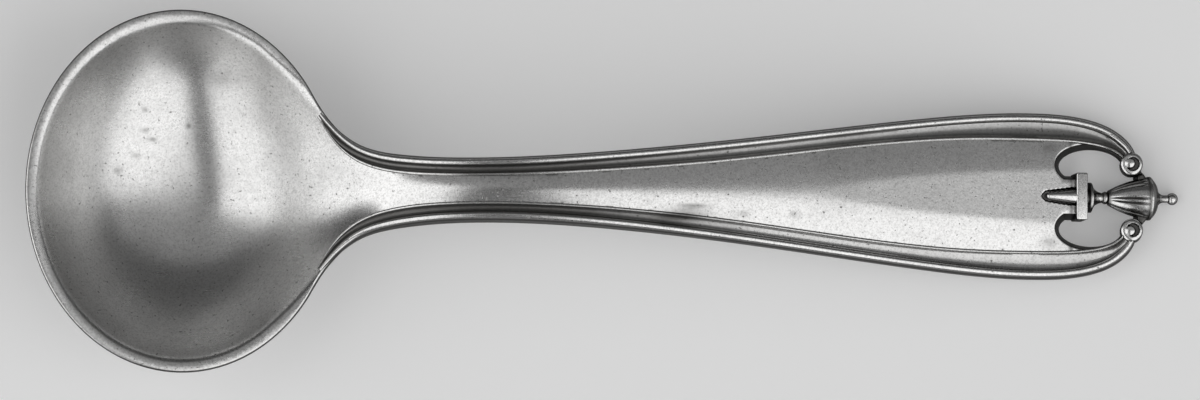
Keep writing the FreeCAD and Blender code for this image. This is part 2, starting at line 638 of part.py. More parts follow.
def make_finial():
    """The turned urn on its plinth, with a back struck flat. X = 0 is the ball's end."""
    body = doc.addObject("PartDesign::Body", "finial")
    lid = "-sizes.lid_from_end"
    band = lid + " - sizes.lid_length"
    fluted = band + " - sizes.band_length"
    fluted_radius = "(sizes.urn_radius - sizes.band_step)"
    collar = fluted + " - sizes.body_length"
    flare = collar + " - sizes.collar_length"
    foot = flare + " - sizes.foot_length"
    core = foot + " - sizes.foot_disc"
    plinth = core + " - sizes.plinth_gap"
    lid_top = (lid, "sizes.lid_neck")
    lid_middle = (lid + " - sizes.lid_length / 2", "sizes.urn_radius * 0.45")
    body_top = (fluted, fluted_radius)
    body_end = (collar, "sizes.collar_radius * 1.5")
    flare_start = (flare, "sizes.collar_radius")
    foot_edge = (foot, "sizes.foot_radius")

    profile = new_sketch(body, "XZ_Plane", "urn_profile")
    draw(profile, [
        ("0", "0", "sizes.ball_radius"),
        ("-sizes.ball_radius * 1.8", "sizes.ball_radius * 0.6"),
        *faceted(lid_top, lid_middle, HOLLOW),
        (*lid_middle, "sizes.lid_swell"),
        (band, "sizes.urn_radius - sizes.band_step"),
        (band + " - sizes.band_step", "sizes.urn_radius"),
        (fluted + " + sizes.band_step", "sizes.urn_radius"),
        *faceted(body_top, body_end, BULGING),
        body_end,
        (collar, "sizes.collar_radius", "sizes.collar_length * 0.62"),
        *faceted(flare_start, foot_edge, HOLLOW),
        foot_edge,
        (core, "sizes.foot_radius"),
        (core, "sizes.core_radius"),
        (plinth + " - sizes.plinth_length", "sizes.core_radius"),
        (plinth + " - sizes.plinth_length", "0"),
    ])
    turn(body, profile, "PartDesign::Revolution", "urn", 360)

    flutes = []
    for name, half_gap in (("near_flute", 0.5), ("far_flute", -0.5)):
        groove = new_sketch(body, "XZ_Plane", name + "_profile")
        clear = " + sizes.band_step"
        draw(groove, [
            (fluted, fluted_radius + " + 0.01"),
            (fluted, fluted_radius + clear),
            (collar, "sizes.collar_radius * 1.5" + clear),
            (collar, "sizes.collar_radius * 1.5 + 0.01"),
        ])
        turned = SIZE["flute_turn"] + half_gap * SIZE["flute_gap"]
        groove.AttachmentOffset.Rotation = FreeCAD.Rotation(Vector(1, 0, 0), turned)
        flutes.append(turn(body, groove, "PartDesign::Groove", name, SIZE["flute_angle"]))
        flutes[-1].Midplane = True
    ring = body.newObject("PartDesign::PolarPattern", "flutes")
    ring.Originals = flutes
    ring.Axis = (profile, ["H_Axis"])
    ring.Angle = 360
    bound(ring, Occurrences="sizes.flute_pairs")
    body.Tip = ring

    plinth_plan = new_sketch(body, "YZ_Plane", "plinth_plan")
    draw(plinth_plan, [
        ("-sizes.plinth_width / 2", "-sizes.urn_lift"),
        ("sizes.plinth_width / 2", "-sizes.urn_lift"),
        ("sizes.plinth_width / 2", "sizes.plinth_height"),
        ("-sizes.plinth_width / 2", "sizes.plinth_height"),
    ])
    bound(plinth_plan, AttachmentOffset__Base__z=plinth + " - sizes.plinth_length")
    block = body.newObject("PartDesign::Pad", "plinth")
    block.Profile = plinth_plan
    bound(block, Length="sizes.plinth_length")
    body.Tip = block

    spike_profile = new_sketch(body, "XZ_Plane", "spike_profile")
    tip = plinth + " - sizes.plinth_length - sizes.spike_length"
    draw(spike_profile, [
        (plinth + " - sizes.plinth_length / 2", "0"),
        (plinth + " - sizes.plinth_length / 2", "sizes.spike_radius"),
        (plinth + " - sizes.plinth_length", "sizes.spike_radius"),
        (tip + " + sizes.spike_tip", "sizes.spike_tip", "sizes.spike_tip"),
        (tip, "0"),
    ])
    bound(spike_profile, AttachmentOffset__Base__y="sizes.spike_lift")
    turn(body, spike_profile, "PartDesign::Revolution", "spike", 360)

    under = new_sketch(body, "XZ_Plane", "under_the_back")
    draw(under, [
        ("sizes.ball_radius", "-sizes.urn_lift"),
        (tip + " - sizes.ball_radius", "-sizes.urn_lift"),
        (tip + " - sizes.ball_radius", "-sizes.urn_lift - sizes.urn_radius"),
        ("sizes.ball_radius", "-sizes.urn_lift - sizes.urn_radius"),
    ])
    back = body.newObject("PartDesign::Pocket", "flat_back")
    back.Profile = under
    back.Midplane = True
    bound(back, Length="sizes.plinth_width * 2 + sizes.urn_radius * 2")
    body.Tip = back

    fall = (back_line(wide_x) - SIZE["back_crown"]) / (rest_x - wide_x)
    body.Placement = FreeCAD.Placement(
        Vector(half_length, 0, SIZE["urn_lift"] - SIZE["rest_from_end"] * fall),
        FreeCAD.Rotation(Vector(0, 1, 0), math.degrees(math.atan(fall))))
    return body


def check(spoon):
    """Stops unless every object was made and the spoon is one sound solid."""
    for item in doc.Objects:
        if "Invalid" in item.State or "Error" in item.State:
            raise RuntimeError(item.Label + " was not made")
    if spoon.Shape.isNull() or not spoon.Shape.isValid() or len(spoon.Shape.Solids) != 1:
        raise RuntimeError("the spoon is not one sound solid")


def cut(name, base, tool):
    item = doc.addObject("Part::Cut", name)
    item.Base = base
    item.Tool = tool
    return item


def main():
    cleared = cut("cleared", make_blank(), make_rim_die())
    struck_over = cut("struck_over", cleared, make_die(upper_height, "upper_die", blank_height + 4))
    plate = cut("plate", struck_over, make_die(lower_height, "lower_die", -blank_height - 4))
    threaded = doc.addObject("Part::MultiFuse", "threaded")
    threaded.Shapes = [plate, make_moulding(1), make_moulding(-1)]
    pierced = cut("pierced", threaded, make_window_tool())
    spoon = doc.addObject("Part::MultiFuse", "salt_spoon")
    spoon.Shapes = [pierced, make_finial(), make_volute(1), make_volute(-1)]
    doc.recompute()
    check(spoon)
    os.makedirs("parts", exist_ok=True)
    spoon.Shape.exportStep("parts/salt_spoon.step")


main()
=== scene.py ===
import math

import bmesh
import bpy
import numpy as np
from bpy.props import FloatProperty, FloatVectorProperty, IntProperty, PointerProperty
from mathutils import Matrix, Vector
from mathutils.geometry import delaunay_2d_cdt


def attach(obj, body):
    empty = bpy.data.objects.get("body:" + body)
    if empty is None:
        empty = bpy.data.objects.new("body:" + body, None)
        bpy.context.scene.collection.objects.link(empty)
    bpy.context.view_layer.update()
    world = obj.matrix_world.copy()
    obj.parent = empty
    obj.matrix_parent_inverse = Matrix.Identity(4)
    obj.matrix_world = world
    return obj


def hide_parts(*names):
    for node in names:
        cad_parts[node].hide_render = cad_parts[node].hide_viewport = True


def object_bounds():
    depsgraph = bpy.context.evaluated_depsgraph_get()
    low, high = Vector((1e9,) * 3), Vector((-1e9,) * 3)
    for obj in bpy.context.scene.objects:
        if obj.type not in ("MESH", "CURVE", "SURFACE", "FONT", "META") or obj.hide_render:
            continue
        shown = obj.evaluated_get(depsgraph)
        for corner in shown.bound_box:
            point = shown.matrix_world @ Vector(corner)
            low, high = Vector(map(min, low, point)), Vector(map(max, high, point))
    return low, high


bl_info = {
    "name": "Silver Salt Spoon",
    "version": (1, 0, 0),
    "blender": (4, 5, 0),
    "location": "3D View > Sidebar > Spoon",
    "description": "Builds a die-struck silver salt spoon over its CAD solid, with its finish and studio",
    "category": "Add Mesh",
}

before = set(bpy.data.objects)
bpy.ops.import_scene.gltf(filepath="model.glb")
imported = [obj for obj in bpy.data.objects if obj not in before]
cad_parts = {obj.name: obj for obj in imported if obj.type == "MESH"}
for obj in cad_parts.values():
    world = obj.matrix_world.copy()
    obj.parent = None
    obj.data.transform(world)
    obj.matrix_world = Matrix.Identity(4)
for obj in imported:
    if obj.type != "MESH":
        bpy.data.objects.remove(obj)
CAD_LOW, CAD_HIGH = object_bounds()

# Forms are worked out in millimetres and become metres when a mesh is made
MM = 0.001
NODE = "salt_spoon"
FINISH = "worn_silver_finish"

# The plate lies lower, in millimetres, under the moulding, round the spike and beside the urn
MOULDING_SEAT = 0.26
SPIKE_SEAT = 0.30
URN_SEAT = 0.45
# The step down under the moulding: how far inside the moulding's inner side it starts, and its width
STEP_INSET = 0.06
STEP_WIDTH = 0.12
# Lines of mesh points on both sides of that step
STEP_LINES = (0.04, 0.19)

# Spacing of the mesh on the plate's top, on its back and along its outlines
TOP_SPACING = 0.20
BACK_SPACING = 0.34
OUTLINE_SPACING = 0.16
OPENING_SPACING = 0.08

# Rows of the moulding's mesh over the bead, the cove and the thread
BEAD_ROWS = 10
COVE_ROWS = 8
THREAD_ROWS = 6

# How many points are compared with a whole line at a time
PART = 2000


def size(millimetres, name, description):
    """A length that a user can change, given in millimetres."""
    return FloatProperty(
        name=name, description=description, default=millimetres * MM, unit="LENGTH", precision=5)


def amount(value, name, description, most=1.0):
    """A plain number that a user can change, from 0 to most."""
    return FloatProperty(name=name, description=description, default=value, min=0.0, max=most)


def colour(values, name, description):
    """A colour that a user can change."""
    return FloatVectorProperty(
        name=name, description=description, default=values, subtype="COLOR", min=0.0, max=1.0)


class SpoonForm(bpy.types.PropertyGroup):
    """Sizes of the spoon: its CAD model's, but for the spike's lift, the urn's bows and the last two"""

    spoon_length: size(63.5, "Length", "Bowl tip to finial ball")
    bowl_length: size(17.1, "Bowl length", "Bowl outline along the spoon")
    bowl_width: size(20.0, "Bowl width", "Bowl outline across the spoon")
    bowl_depth: size(5.0, "Bowl depth", "Rim plane down to the inside of the bowl")
    bowl_wall: size(0.8, "Bowl wall", "Metal under the middle of the bowl")
    rim_width: size(0.6, "Rim width", "Lip of the bowl seen from above")
    rim_edge: size(0.5, "Rim edge", "Height of the lip's outer edge")
    rim_slope: amount(0.1, "Rim slope", "Fall of the rim towards the handle")
    bowl_fullness: amount(2.4, "Fullness", "Power of the bowl's curve, where 2 is a parabola", 6.0)
    neck_flow: size(3.0, "Neck flow", "How far the bowl and the stem ease into each other")
    shoulder_reach: size(1.3, "Shoulder reach", "Bowl outline to the middle of the shoulder curve")
    shoulder_width: size(5.1, "Shoulder width", "Stem at the middle of the shoulder curve")
    neck_from_bowl: size(7.3, "Neck place", "Bowl outline to the narrowest place of the stem")
    neck_width: size(3.46, "Neck width", "Stem at its narrowest")
    middle_width: size(5.94, "Middle width", "Handle halfway between neck and widest place")
    handle_width: size(9.16, "Handle width", "Handle at its widest")
    wide_from_end: size(7.7, "Widest place", "Widest place of the handle to the finial's tip")
    end_squareness: amount(2.2, "End squareness", "Power of the end curve, where 2 is an ellipse", 6.0)
    arch_height: size(7.4, "Arch height", "Top of the handle's arch above the table")
    arch_from_neck: size(1.6, "Arch place", "Neck to the top of the arch")
    rest_from_end: size(1.2, "Rest", "Where the handle's end rests, to the finial's tip")
    neck_thickness: size(2.1, "Neck thickness", "Edge of the handle at the neck")
    middle_thickness: size(1.4, "Middle thickness", "Edge of the handle halfway")
    end_thickness: size(1.15, "End thickness", "Edge of the handle at its wide end")
    panel_drop: size(0.22, "Panel drop", "Bead crest down to the edge of the panel")
    neck_crown: size(0.10, "Neck crown", "Rise of the panel's middle at the neck")
    end_crown: size(0.28, "End crown", "Rise of the panel's middle at the wide end")
    back_crown: size(0.15, "Back crown", "Swell of the back over its edges")
    neck_moulding: size(1.05, "Neck moulding", "Edge moulding across, at the neck")
    end_moulding: size(1.35, "End moulding", "Edge moulding across, at the wide end")
    bead_width: size(0.46, "Bead width", "Outer bead of the moulding")
    bead_round: size(0.26, "Bead rounding", "Height of the bead's rounding")
    thread_width: size(0.20, "Thread width", "Inner thread of the moulding")
    thread_rise: size(0.12, "Thread rise", "Thread above the panel")
    cove_depth: size(0.16, "Cove depth", "Hollow between bead and thread")
    moulding_root: size(0.30, "Moulding root", "Moulding sunk into the plate")
    window_length: size(3.94, "Opening length", "Each piercing along the handle")
    window_width: size(2.30, "Opening width", "Each piercing across the handle")
    window_from_end: size(4.85, "Opening place", "Middle of the piercings to the finial's tip")
    window_spacing: size(3.50, "Opening spacing", "Between the middles of the two piercings")
    tongue_width: size(2.00, "Tongue width", "Panel between the piercings")
    volute_radius: size(0.63, "Scroll radius", "Scroll that ends each arm")
    volute_from_end: size(2.59, "Scroll place", "Scroll centre to the finial's tip")
    volute_spacing: size(3.66, "Scroll spacing", "Between the two scroll centres")
    volute_roll: size(0.24, "Scroll roll", "Rolled edge of the scroll")
    volute_rise: size(0.34, "Scroll rise", "Scroll above the edge of the handle")
    boss_radius: size(0.30, "Button radius", "Button in the middle of the scroll")
    tail_from_end: size(1.70, "Tail", "End of the plate under the finial, to the finial's tip")
    tail_length: size(0.55, "Tail length", "Plate left between the scrolls")
    ball_radius: size(0.33, "Ball radius", "Ball on the urn's lid")
    lid_neck: size(0.20, "Lid neck", "Radius of the neck under the ball")
    lid_from_end: size(0.85, "Lid place", "Top of the lid to the finial's tip")
    lid_length: size(0.71, "Lid length", "Ogee lid of the urn")
    lid_hollow: size(0.07, "Lid hollow", "How far the lid's upper part is hollowed")
    lid_swell: size(0.06, "Lid swell", "How far the lid's lower part bulges")
    urn_radius: size(1.21, "Urn radius", "Urn at its shoulder")
    urn_lift: size(0.60, "Urn lift", "Finial's axis above its flat back")
    band_length: size(0.22, "Band length", "Plain band at the urn's shoulder")
    band_step: size(0.06, "Band step", "Step from the band in to the fluted body")
    body_length: size(2.19, "Body length", "Fluted body of the urn")
    body_swell: size(0.11, "Body swell", "How far the side of the urn's body bulges")
    collar_radius: size(0.27, "Collar radius", "Ends of the collar under the body")
    collar_length: size(0.32, "Collar length", "Collar under the body")
    foot_length: size(0.64, "Foot length", "Flare of the urn's foot")
    foot_hollow: size(0.14, "Foot hollow", "How far the flare of the foot is hollowed")
    foot_radius: size(0.82, "Foot radius", "Disc of the foot")
    foot_disc: size(0.17, "Foot disc", "Thickness of that disc")
    core_radius: size(0.42, "Core radius", "Core between the foot and the plinth")
    plinth_gap: size(0.21, "Plinth gap", "Foot to plinth")
    plinth_width: size(2.60, "Plinth width", "Plinth across the spoon")
    plinth_length: size(0.62, "Plinth length", "Plinth along the spoon")
    plinth_height: size(1.00, "Plinth height", "Plinth above the finial's axis")
    spike_length: size(1.67, "Spike length", "Spike that lies on the panel")
    spike_radius: size(0.42, "Spike radius", "Spike where it meets the plinth")
    spike_tip: size(0.19, "Spike tip", "Radius of the spike's rounded tip")
    spike_lift: size(0.57, "Spike lift", "Spike's axis above the finial's")
    flute_pairs: IntProperty(
        name="Flute pairs", description="Pairs of fine grooves round the urn", default=6, min=1)
    flute_angle: amount(7.0, "Flute width", "Each groove, in degrees round the urn", 30.0)
    flute_gap: amount(17.0, "Flute gap", "Between the two grooves of a pair, in degrees", 60.0)
    flute_turn: amount(12.0, "Flute turn", "The uppermost pair from straight up, in degrees", 60.0)
    edge_softness: size(0.12, "Edge softness", "Rounding of the worn outer edges")
    window_draft: size(0.22, "Opening draft", "How much the piercings narrow towards the back")


class SilverFinish(bpy.types.PropertyGroup):
    """Colours and wear of the silver"""

    silver: colour((0.83, 0.827, 0.82), "Silver", "Clean metal")
    # This dark colour paints the stains and pits, and also the painted shade in the hollows and on upright
    # sides
    tarnish: colour((0.075, 0.072, 0.068), "Tarnish", "Dull film in the hollows")
    satin: amount(0.23, "Satin", "Roughness of the open surfaces")
    bowl_wear: amount(0.05, "Bowl wear", "How much rougher use has made the bowl")


class StudioSetup(bpy.types.PropertyGroup):
    """Floor, lights and camera"""

    floor: colour((0.45, 0.45, 0.45), "Floor", "Plain pale sheet under the spoon")
    floor_seen: colour((0.80, 0.80, 0.80), "Floor in view", "The same sheet as the camera sees it")
    floor_lift: amount(0.17, "Floor lift", "Glow that only the camera sees")
    tilt: FloatProperty(
        name="Camera tilt", description="Camera from straight above, towards the near edge",
        default=math.radians(5), subtype="ANGLE")
    seen_width: size(66.08, "Picture width", "Width of the scene that the picture takes in")
    camera_distance: size(900, "Camera distance", "Camera to the table")
    side_light: amount(1.14, "Side lights", "Brightness of the two large soft lights", 20.0)
    wing_light: amount(0.32, "Wing lights", "Brightness of the two low lights at the sides", 20.0)
    back_light: amount(0.21, "Back light", "Brightness of the dim light overhead, beyond the spoon", 20.0)
    ambient: amount(0.035, "Ambient", "Brightness of the room", 5.0)


def smooth_line(points):
    """A smooth curve through a few (x, height) points, as a function of x."""
    xs, ys = np.array(points, float).T
    steps = np.diff(xs)
    count = len(xs)
    matrix = np.zeros((count, count))
    right = np.zeros(count)
    for place in range(1, count - 1):
        before, after = steps[place - 1], steps[place]
        matrix[place, place - 1:place + 2] = after, 2 * (before + after), before
        before_slope = (ys[place] - ys[place - 1]) / before
        after_slope = (ys[place + 1] - ys[place]) / after
        right[place] = 3 * (after * before_slope + before * after_slope)
    used = min(4, count)
    for place, near in ((0, slice(0, used)), (count - 1, slice(count - used, count))):
        matrix[place, place] = 1
        fitted = np.polyfit(xs[near] - xs[place], ys[near], used - 1)
        right[place] = fitted[-2]
    slopes = np.linalg.solve(matrix, right)

    def value(x):
        x = np.asarray(x, float)
        place = np.clip(np.searchsorted(xs, x) - 1, 0, count - 2)
        step = steps[place]
        t = (x - xs[place]) / step
        return ((2 * t ** 3 - 3 * t ** 2 + 1) * ys[place] + (t ** 3 - 2 * t ** 2 + t) * step * slopes[place]
                + (3 * t ** 2 - 2 * t ** 3) * ys[place + 1] + (t ** 3 - t ** 2) * step * slopes[place + 1])

    return value


def soft_lower(first, second, reach):
    """The lower of two heights, eased into each other where they are closer than reach."""
    nearness = np.maximum(reach - np.abs(first - second), 0.0) / reach
    return np.minimum(first, second) - nearness ** 3 * reach / 6


def unit(value):
    """The value, held between 0 and 1."""
    return np.clip(value, 0, 1)


def in_parts(work, points):
    """What work gives for the points, done part by part to save memory."""
    return np.concatenate([work(points[begin:begin + PART]) for begin in range(0, len(points), PART)])


def gaps_between(points, line):
    """Distances from each plan point to each point of a line."""
    return np.hypot(points[:, :1] - line[:, 0], points[:, 1:] - line[:, 1])


def run_along(line):
    """How far along a line each of its points is."""
    return np.concatenate([[0], np.cumsum(np.hypot(*np.diff(line, axis=0).T))])


def at_places(places, run, line):
    """Points of a line at the given distances along it."""
    return np.stack([np.interp(places, run, line[:, 0]), np.interp(places, run, line[:, 1])], axis=1)


def turned_right(ahead):
    """Plan directions turned a quarter to the right."""
    return np.stack([ahead[:, 1], -ahead[:, 0]], axis=1)


class Form:
    """The spoon's form in millimetres: its CAD model's formulas, and the seats of the other pieces."""

    def __init__(self, sizes):
        for name in SpoonForm.__annotations__:
            value = getattr(sizes, name)
            is_length = sizes.bl_rna.properties[name].unit == "LENGTH"
            setattr(self, name, value / MM if is_length else value)
        self.half_length = self.spoon_length / 2
        self.half_bowl_length = self.bowl_length / 2
        self.half_bowl_width = self.bowl_width / 2
        self.bowl_x = self.half_bowl_length - self.half_length
        self.bowl_end_x = self.bowl_x + self.half_bowl_length
        self.shoulder_x = self.bowl_end_x + self.shoulder_reach
        self.neck_x = self.bowl_end_x + self.neck_from_bowl
        self.apex_x = self.neck_x + self.arch_from_neck
        self.wide_x = self.half_length - self.wide_from_end
        self.middle_x = (self.neck_x + self.wide_x) / 2
        self.volute_x = self.half_length - self.volute_from_end
        self.volute_y = self.volute_spacing / 2
        self.rest_x = self.half_length - self.rest_from_end
        self.tail_x = self.half_length - self.tail_from_end
        self.plinth_x = self.half_length - (
            self.lid_from_end + self.lid_length + self.band_length + self.body_length
            + self.collar_length + self.foot_length + self.foot_disc + self.plinth_gap)
        self.spike_x = self.plinth_x - self.plinth_length - self.spike_length
        self.skin_start_x = -self.half_length - 2
        self.skin_end_x = self.half_length + 1
        self.stem_start_x = self.bowl_end_x - 4.0
        self.outer_depth = self.bowl_depth + self.bowl_wall
        steepness = (self.outer_depth - self.rim_edge) * self.bowl_fullness
        fall = self.rim_slope * self.half_bowl_length
        lowest = (fall / steepness) ** (1 / (self.bowl_fullness - 1))
        self.rim_height = self.outer_depth + fall * lowest * (1 - 1 / self.bowl_fullness)
        self.edge_line = self.make_edge_line()
        self.edge_thickness = smooth_line([
            (self.skin_start_x, self.rim_edge), (self.bowl_x, self.rim_edge),
            (self.stem_start_x, self.rim_edge),
            (self.bowl_end_x, 0.45 * self.neck_thickness), (self.shoulder_x, 0.66 * self.neck_thickness),
            ((self.shoulder_x + self.neck_x) / 2, 0.94 * self.neck_thickness),
            (self.neck_x, self.neck_thickness), (self.middle_x, self.middle_thickness),
            (self.wide_x, self.end_thickness), (self.skin_end_x, self.end_thickness)])
        self.half_width = self.make_half_width()
        self.moulding_width = smooth_line([
            (self.stem_start_x, 0.7 * self.neck_moulding), (self.shoulder_x, 0.85 * self.neck_moulding),
            (self.neck_x, self.neck_moulding),
            (self.middle_x, (self.neck_moulding + self.end_moulding) / 2),
            (self.wide_x, self.end_moulding), (self.skin_end_x, self.end_moulding)])
        self.crown = smooth_line([
            (self.stem_start_x, -1.3), (self.bowl_end_x, -0.6), (self.shoulder_x + 1.2, -0.05),
            (self.neck_x - 1.0, self.neck_crown), (self.neck_x + 4.0, self.neck_crown),
            (self.middle_x, (self.neck_crown + self.end_crown) / 2),
            (self.wide_x, self.end_crown), (self.skin_end_x, self.end_crown)])

    def rim_line(self, x):
        """Height of the bowl's rim, which falls a little towards the handle."""
        return self.rim_height - self.rim_slope * (x - self.bowl_x)

    def make_edge_line(self):
        """Side view of the handle's edge, from the rim's line over the arch to the end."""
        rise = self.arch_height
        end = self.end_thickness + self.back_crown
        before = self.apex_x - self.bowl_end_x
        after = self.half_length - self.apex_x
        bowl_rim = self.rim_line(self.bowl_end_x)
        return smooth_line([
            (self.bowl_x, self.rim_line(self.bowl_x)),
            (self.stem_start_x, self.rim_line(self.stem_start_x)),
            (self.bowl_end_x - 1.5, self.rim_line(self.bowl_end_x - 1.5)),
            (self.bowl_end_x + 0.55 * before, bowl_rim + 0.75 * (rise - bowl_rim)),
            (self.apex_x, rise),
            (self.apex_x + 0.38 * after, end + 0.76 * (rise - end)),
            (self.apex_x + 0.70 * after, end + 0.345 * (rise - end)),
            (self.rest_x, end),
            (self.skin_end_x, end - 0.25)])

    def make_half_width(self):
        """Half the handle's width in plan, from inside the bowl to the end."""
        handle = self.wide_x - self.neck_x
        neck, middle, wide = self.neck_width / 2, self.middle_width / 2, self.handle_width / 2
        return smooth_line([
            (self.stem_start_x, 5.0), (self.bowl_end_x, 0.72 * self.shoulder_width),
            (self.shoulder_x, self.shoulder_width / 2),
            ((self.shoulder_x + self.neck_x) / 2, 0.56 * self.neck_width), (self.neck_x, neck),
            (self.neck_x + 0.23 * handle, neck + 0.26 * (middle - neck)), (self.middle_x, middle),
            (self.wide_x - 0.21 * handle, wide - 0.27 * (wide - middle)),
            (self.wide_x, wide), (self.skin_end_x, wide)])

    def edge_top(self, x):
        """Height of the edge's top: the rim over the bowl, and the arch along the handle."""
        arch = self.edge_line(np.maximum(x, self.stem_start_x))
        return np.where(x < self.stem_start_x, self.rim_line(x), arch)

    def back_line(self, x):
        """Height of the edge's foot."""
        return self.edge_top(x) - self.edge_thickness(x)

    def bowl_share(self, x, y, inset):
        """0 in the middle of the bowl and 1 on its outline, drawn in by inset."""
        along = (x - self.bowl_x) / (self.half_bowl_length - inset)
        return np.hypot(along, y / (self.half_bowl_width - inset)) ** self.bowl_fullness

    def over_bowl(self, x):
        """Rise that keeps the stem's faces clear of the bowl's far side."""
        return 0.02 * np.maximum(self.bowl_x + 3.0 - x, 0.0) ** 3

    def panel(self, x, y):
        """The struck upper face before the rim is cleared: inside of the bowl and crowned panel."""
        bowl = self.rim_line(x) - self.bowl_depth * (1 - self.bowl_share(x, y, self.rim_width))
        place = np.maximum(x, self.stem_start_x)
        across = y / (self.half_width(place) - self.moulding_width(place))
        crown = self.crown(place) * (1 - across ** 2)
        stem = self.edge_top(x) - self.panel_drop + crown + self.over_bowl(x)
        return soft_lower(bowl, stem, self.neck_flow)

    def upper(self, x, y):
        """The upper face, with the lip's flat and its worn inner edge."""
        near_bowl = np.clip((self.shoulder_x + 2.2 - x) / 2.0, 0.02, 1.0)
        return soft_lower(self.panel(x, y), self.edge_top(x), 0.30 * near_bowl)

    def lower(self, x, y):
        """The lower face: outside of the bowl and back of the handle."""
        share = self.bowl_share(x, y, 0.0)
        bowl = self.rim_line(x) - self.outer_depth + (self.outer_depth - self.rim_edge) * share
        place = np.maximum(x, self.stem_start_x)
        across = y / self.half_width(place)
        thinned = np.where(x < self.neck_x, self.neck_thickness - self.edge_thickness(place), 0.0)
        swell = self.back_crown + np.maximum(thinned, 0.0)
        back = self.back_line(x) - swell * (1 - across ** 2) + self.over_bowl(x)
        return soft_lower(bowl, back, self.neck_flow)

    def edge_points(self):
        """A few plan points of one edge, from the rim's lip round and into the scroll."""
        lip = self.rim_width / 2
        start = math.radians(35)
        points = [
            (self.bowl_x + (self.half_bowl_length - lip) * math.cos(start),
             (self.half_bowl_width - lip) * math.sin(start)),
            (self.bowl_end_x - 0.6, 0.8 * self.shoulder_width),
            (self.shoulder_x, self.shoulder_width / 2),
            ((self.shoulder_x + self.neck_x) / 2 - 0.8, 0.57 * self.neck_width),
        ]
        for share in (0.0, 0.23, 0.5, 0.79):
            x = self.neck_x + share * (self.wide_x - self.neck_x)
            points.append((x, float(self.half_width(x))))
        reach = self.volute_x + 0.45 * self.volute_radius - self.wide_x
        rise = self.handle_width / 2 - self.volute_y
        power = 2 / self.end_squareness
        for turn in (90, 62, 36, 14, 0):
            angle = math.radians(turn)
            points.append((self.wide_x + reach * math.cos(angle) ** power,
                           self.volute_y + rise * math.sin(angle) ** power))
        return np.array(points)

    def moulding_at(self, share):
        """Width of the moulding, given the share of the edge's length."""
        return smooth_line([
            (0.0, 0.20), (0.03, 0.32), (0.06, 0.62), (0.10, 0.9 * self.neck_moulding),
            (0.18, self.neck_moulding), (0.5, (self.neck_moulding + self.end_moulding) / 2),
            (0.75, self.end_moulding), (0.93, self.end_moulding), (1.0, self.volute_radius)])(share)

    def leaves_rim(self, points):
        """Which of the edge's points is the first outside the bowl's outline."""
        return int(np.argmax(self.bowl_share(points[:, 0], points[:, 1], 0.0) > 0.995))

    def seat(self, plan):
        """How far the plate lies lower under the moulding, round the spike and beside the urn."""
        points, _, distance = self.edge(700)
        shares = distance / distance[-1]

        def nearest(part):
            gaps = gaps_between(part, points)
            return np.column_stack([gaps.min(axis=1), shares[gaps.argmin(axis=1)]])

        depth, share = in_parts(nearest, plan * (1, 0) + np.abs(plan) * (0, 1)).T
        under = unit((self.moulding_at(share) - depth - STEP_INSET) / STEP_WIDTH)
        opened = unit((share - shares[self.leaves_rim(points)]) / 0.02)
        beside_urn = unit((plan[:, 0] - self.volute_x - 0.25) / 0.2)
        return MOULDING_SEAT * under * opened + SPIKE_SEAT * self.round_spike(plan) + URN_SEAT * beside_urn

    def seat_lines(self):
        """Plan points on both sides of the step down under the moulding."""
        points, ahead, distance = self.edge(420)
        width = self.moulding_at(distance / distance[-1])
        inward = turned_right(ahead)
        first = self.leaves_rim(points) + 2
        lines = np.vstack([(points + inward * (width - inset)[:, None])[first:] for inset in STEP_LINES])
        return np.vstack([lines, lines * (1, -1)])

    def round_spike(self, plan):
        """1 in the recess in which the spike lies and 0 outside it."""
        x, y = plan.T
        run = x - self.spike_x
        share = unit(run / self.spike_length)
        half = self.spike_tip + share * (self.spike_radius - self.spike_tip) + 0.05
        rounded = np.sqrt(unit((run - 0.02) / 0.22))
        return (0.4 + 0.6 * share) * unit((half * rounded - np.abs(y)) / 0.08 + 0.5 * rounded)

    def edge(self, count):
        """Points, directions and lengths along the left edge, evenly spaced."""
        corners = self.edge_points()
        chords = run_along(corners)
        fine = np.linspace(0, chords[-1], 4000)
        line = np.stack([smooth_line(list(zip(chords, column)))(fine) for column in corners.T], axis=1)
        run = run_along(line)
        distance = np.linspace(0, run[-1], count)
        points = at_places(distance, run, line)
        ahead = np.gradient(points, distance, axis=0)
        ahead /= np.hypot(*ahead.T)[:, None]
        return points, ahead, distance


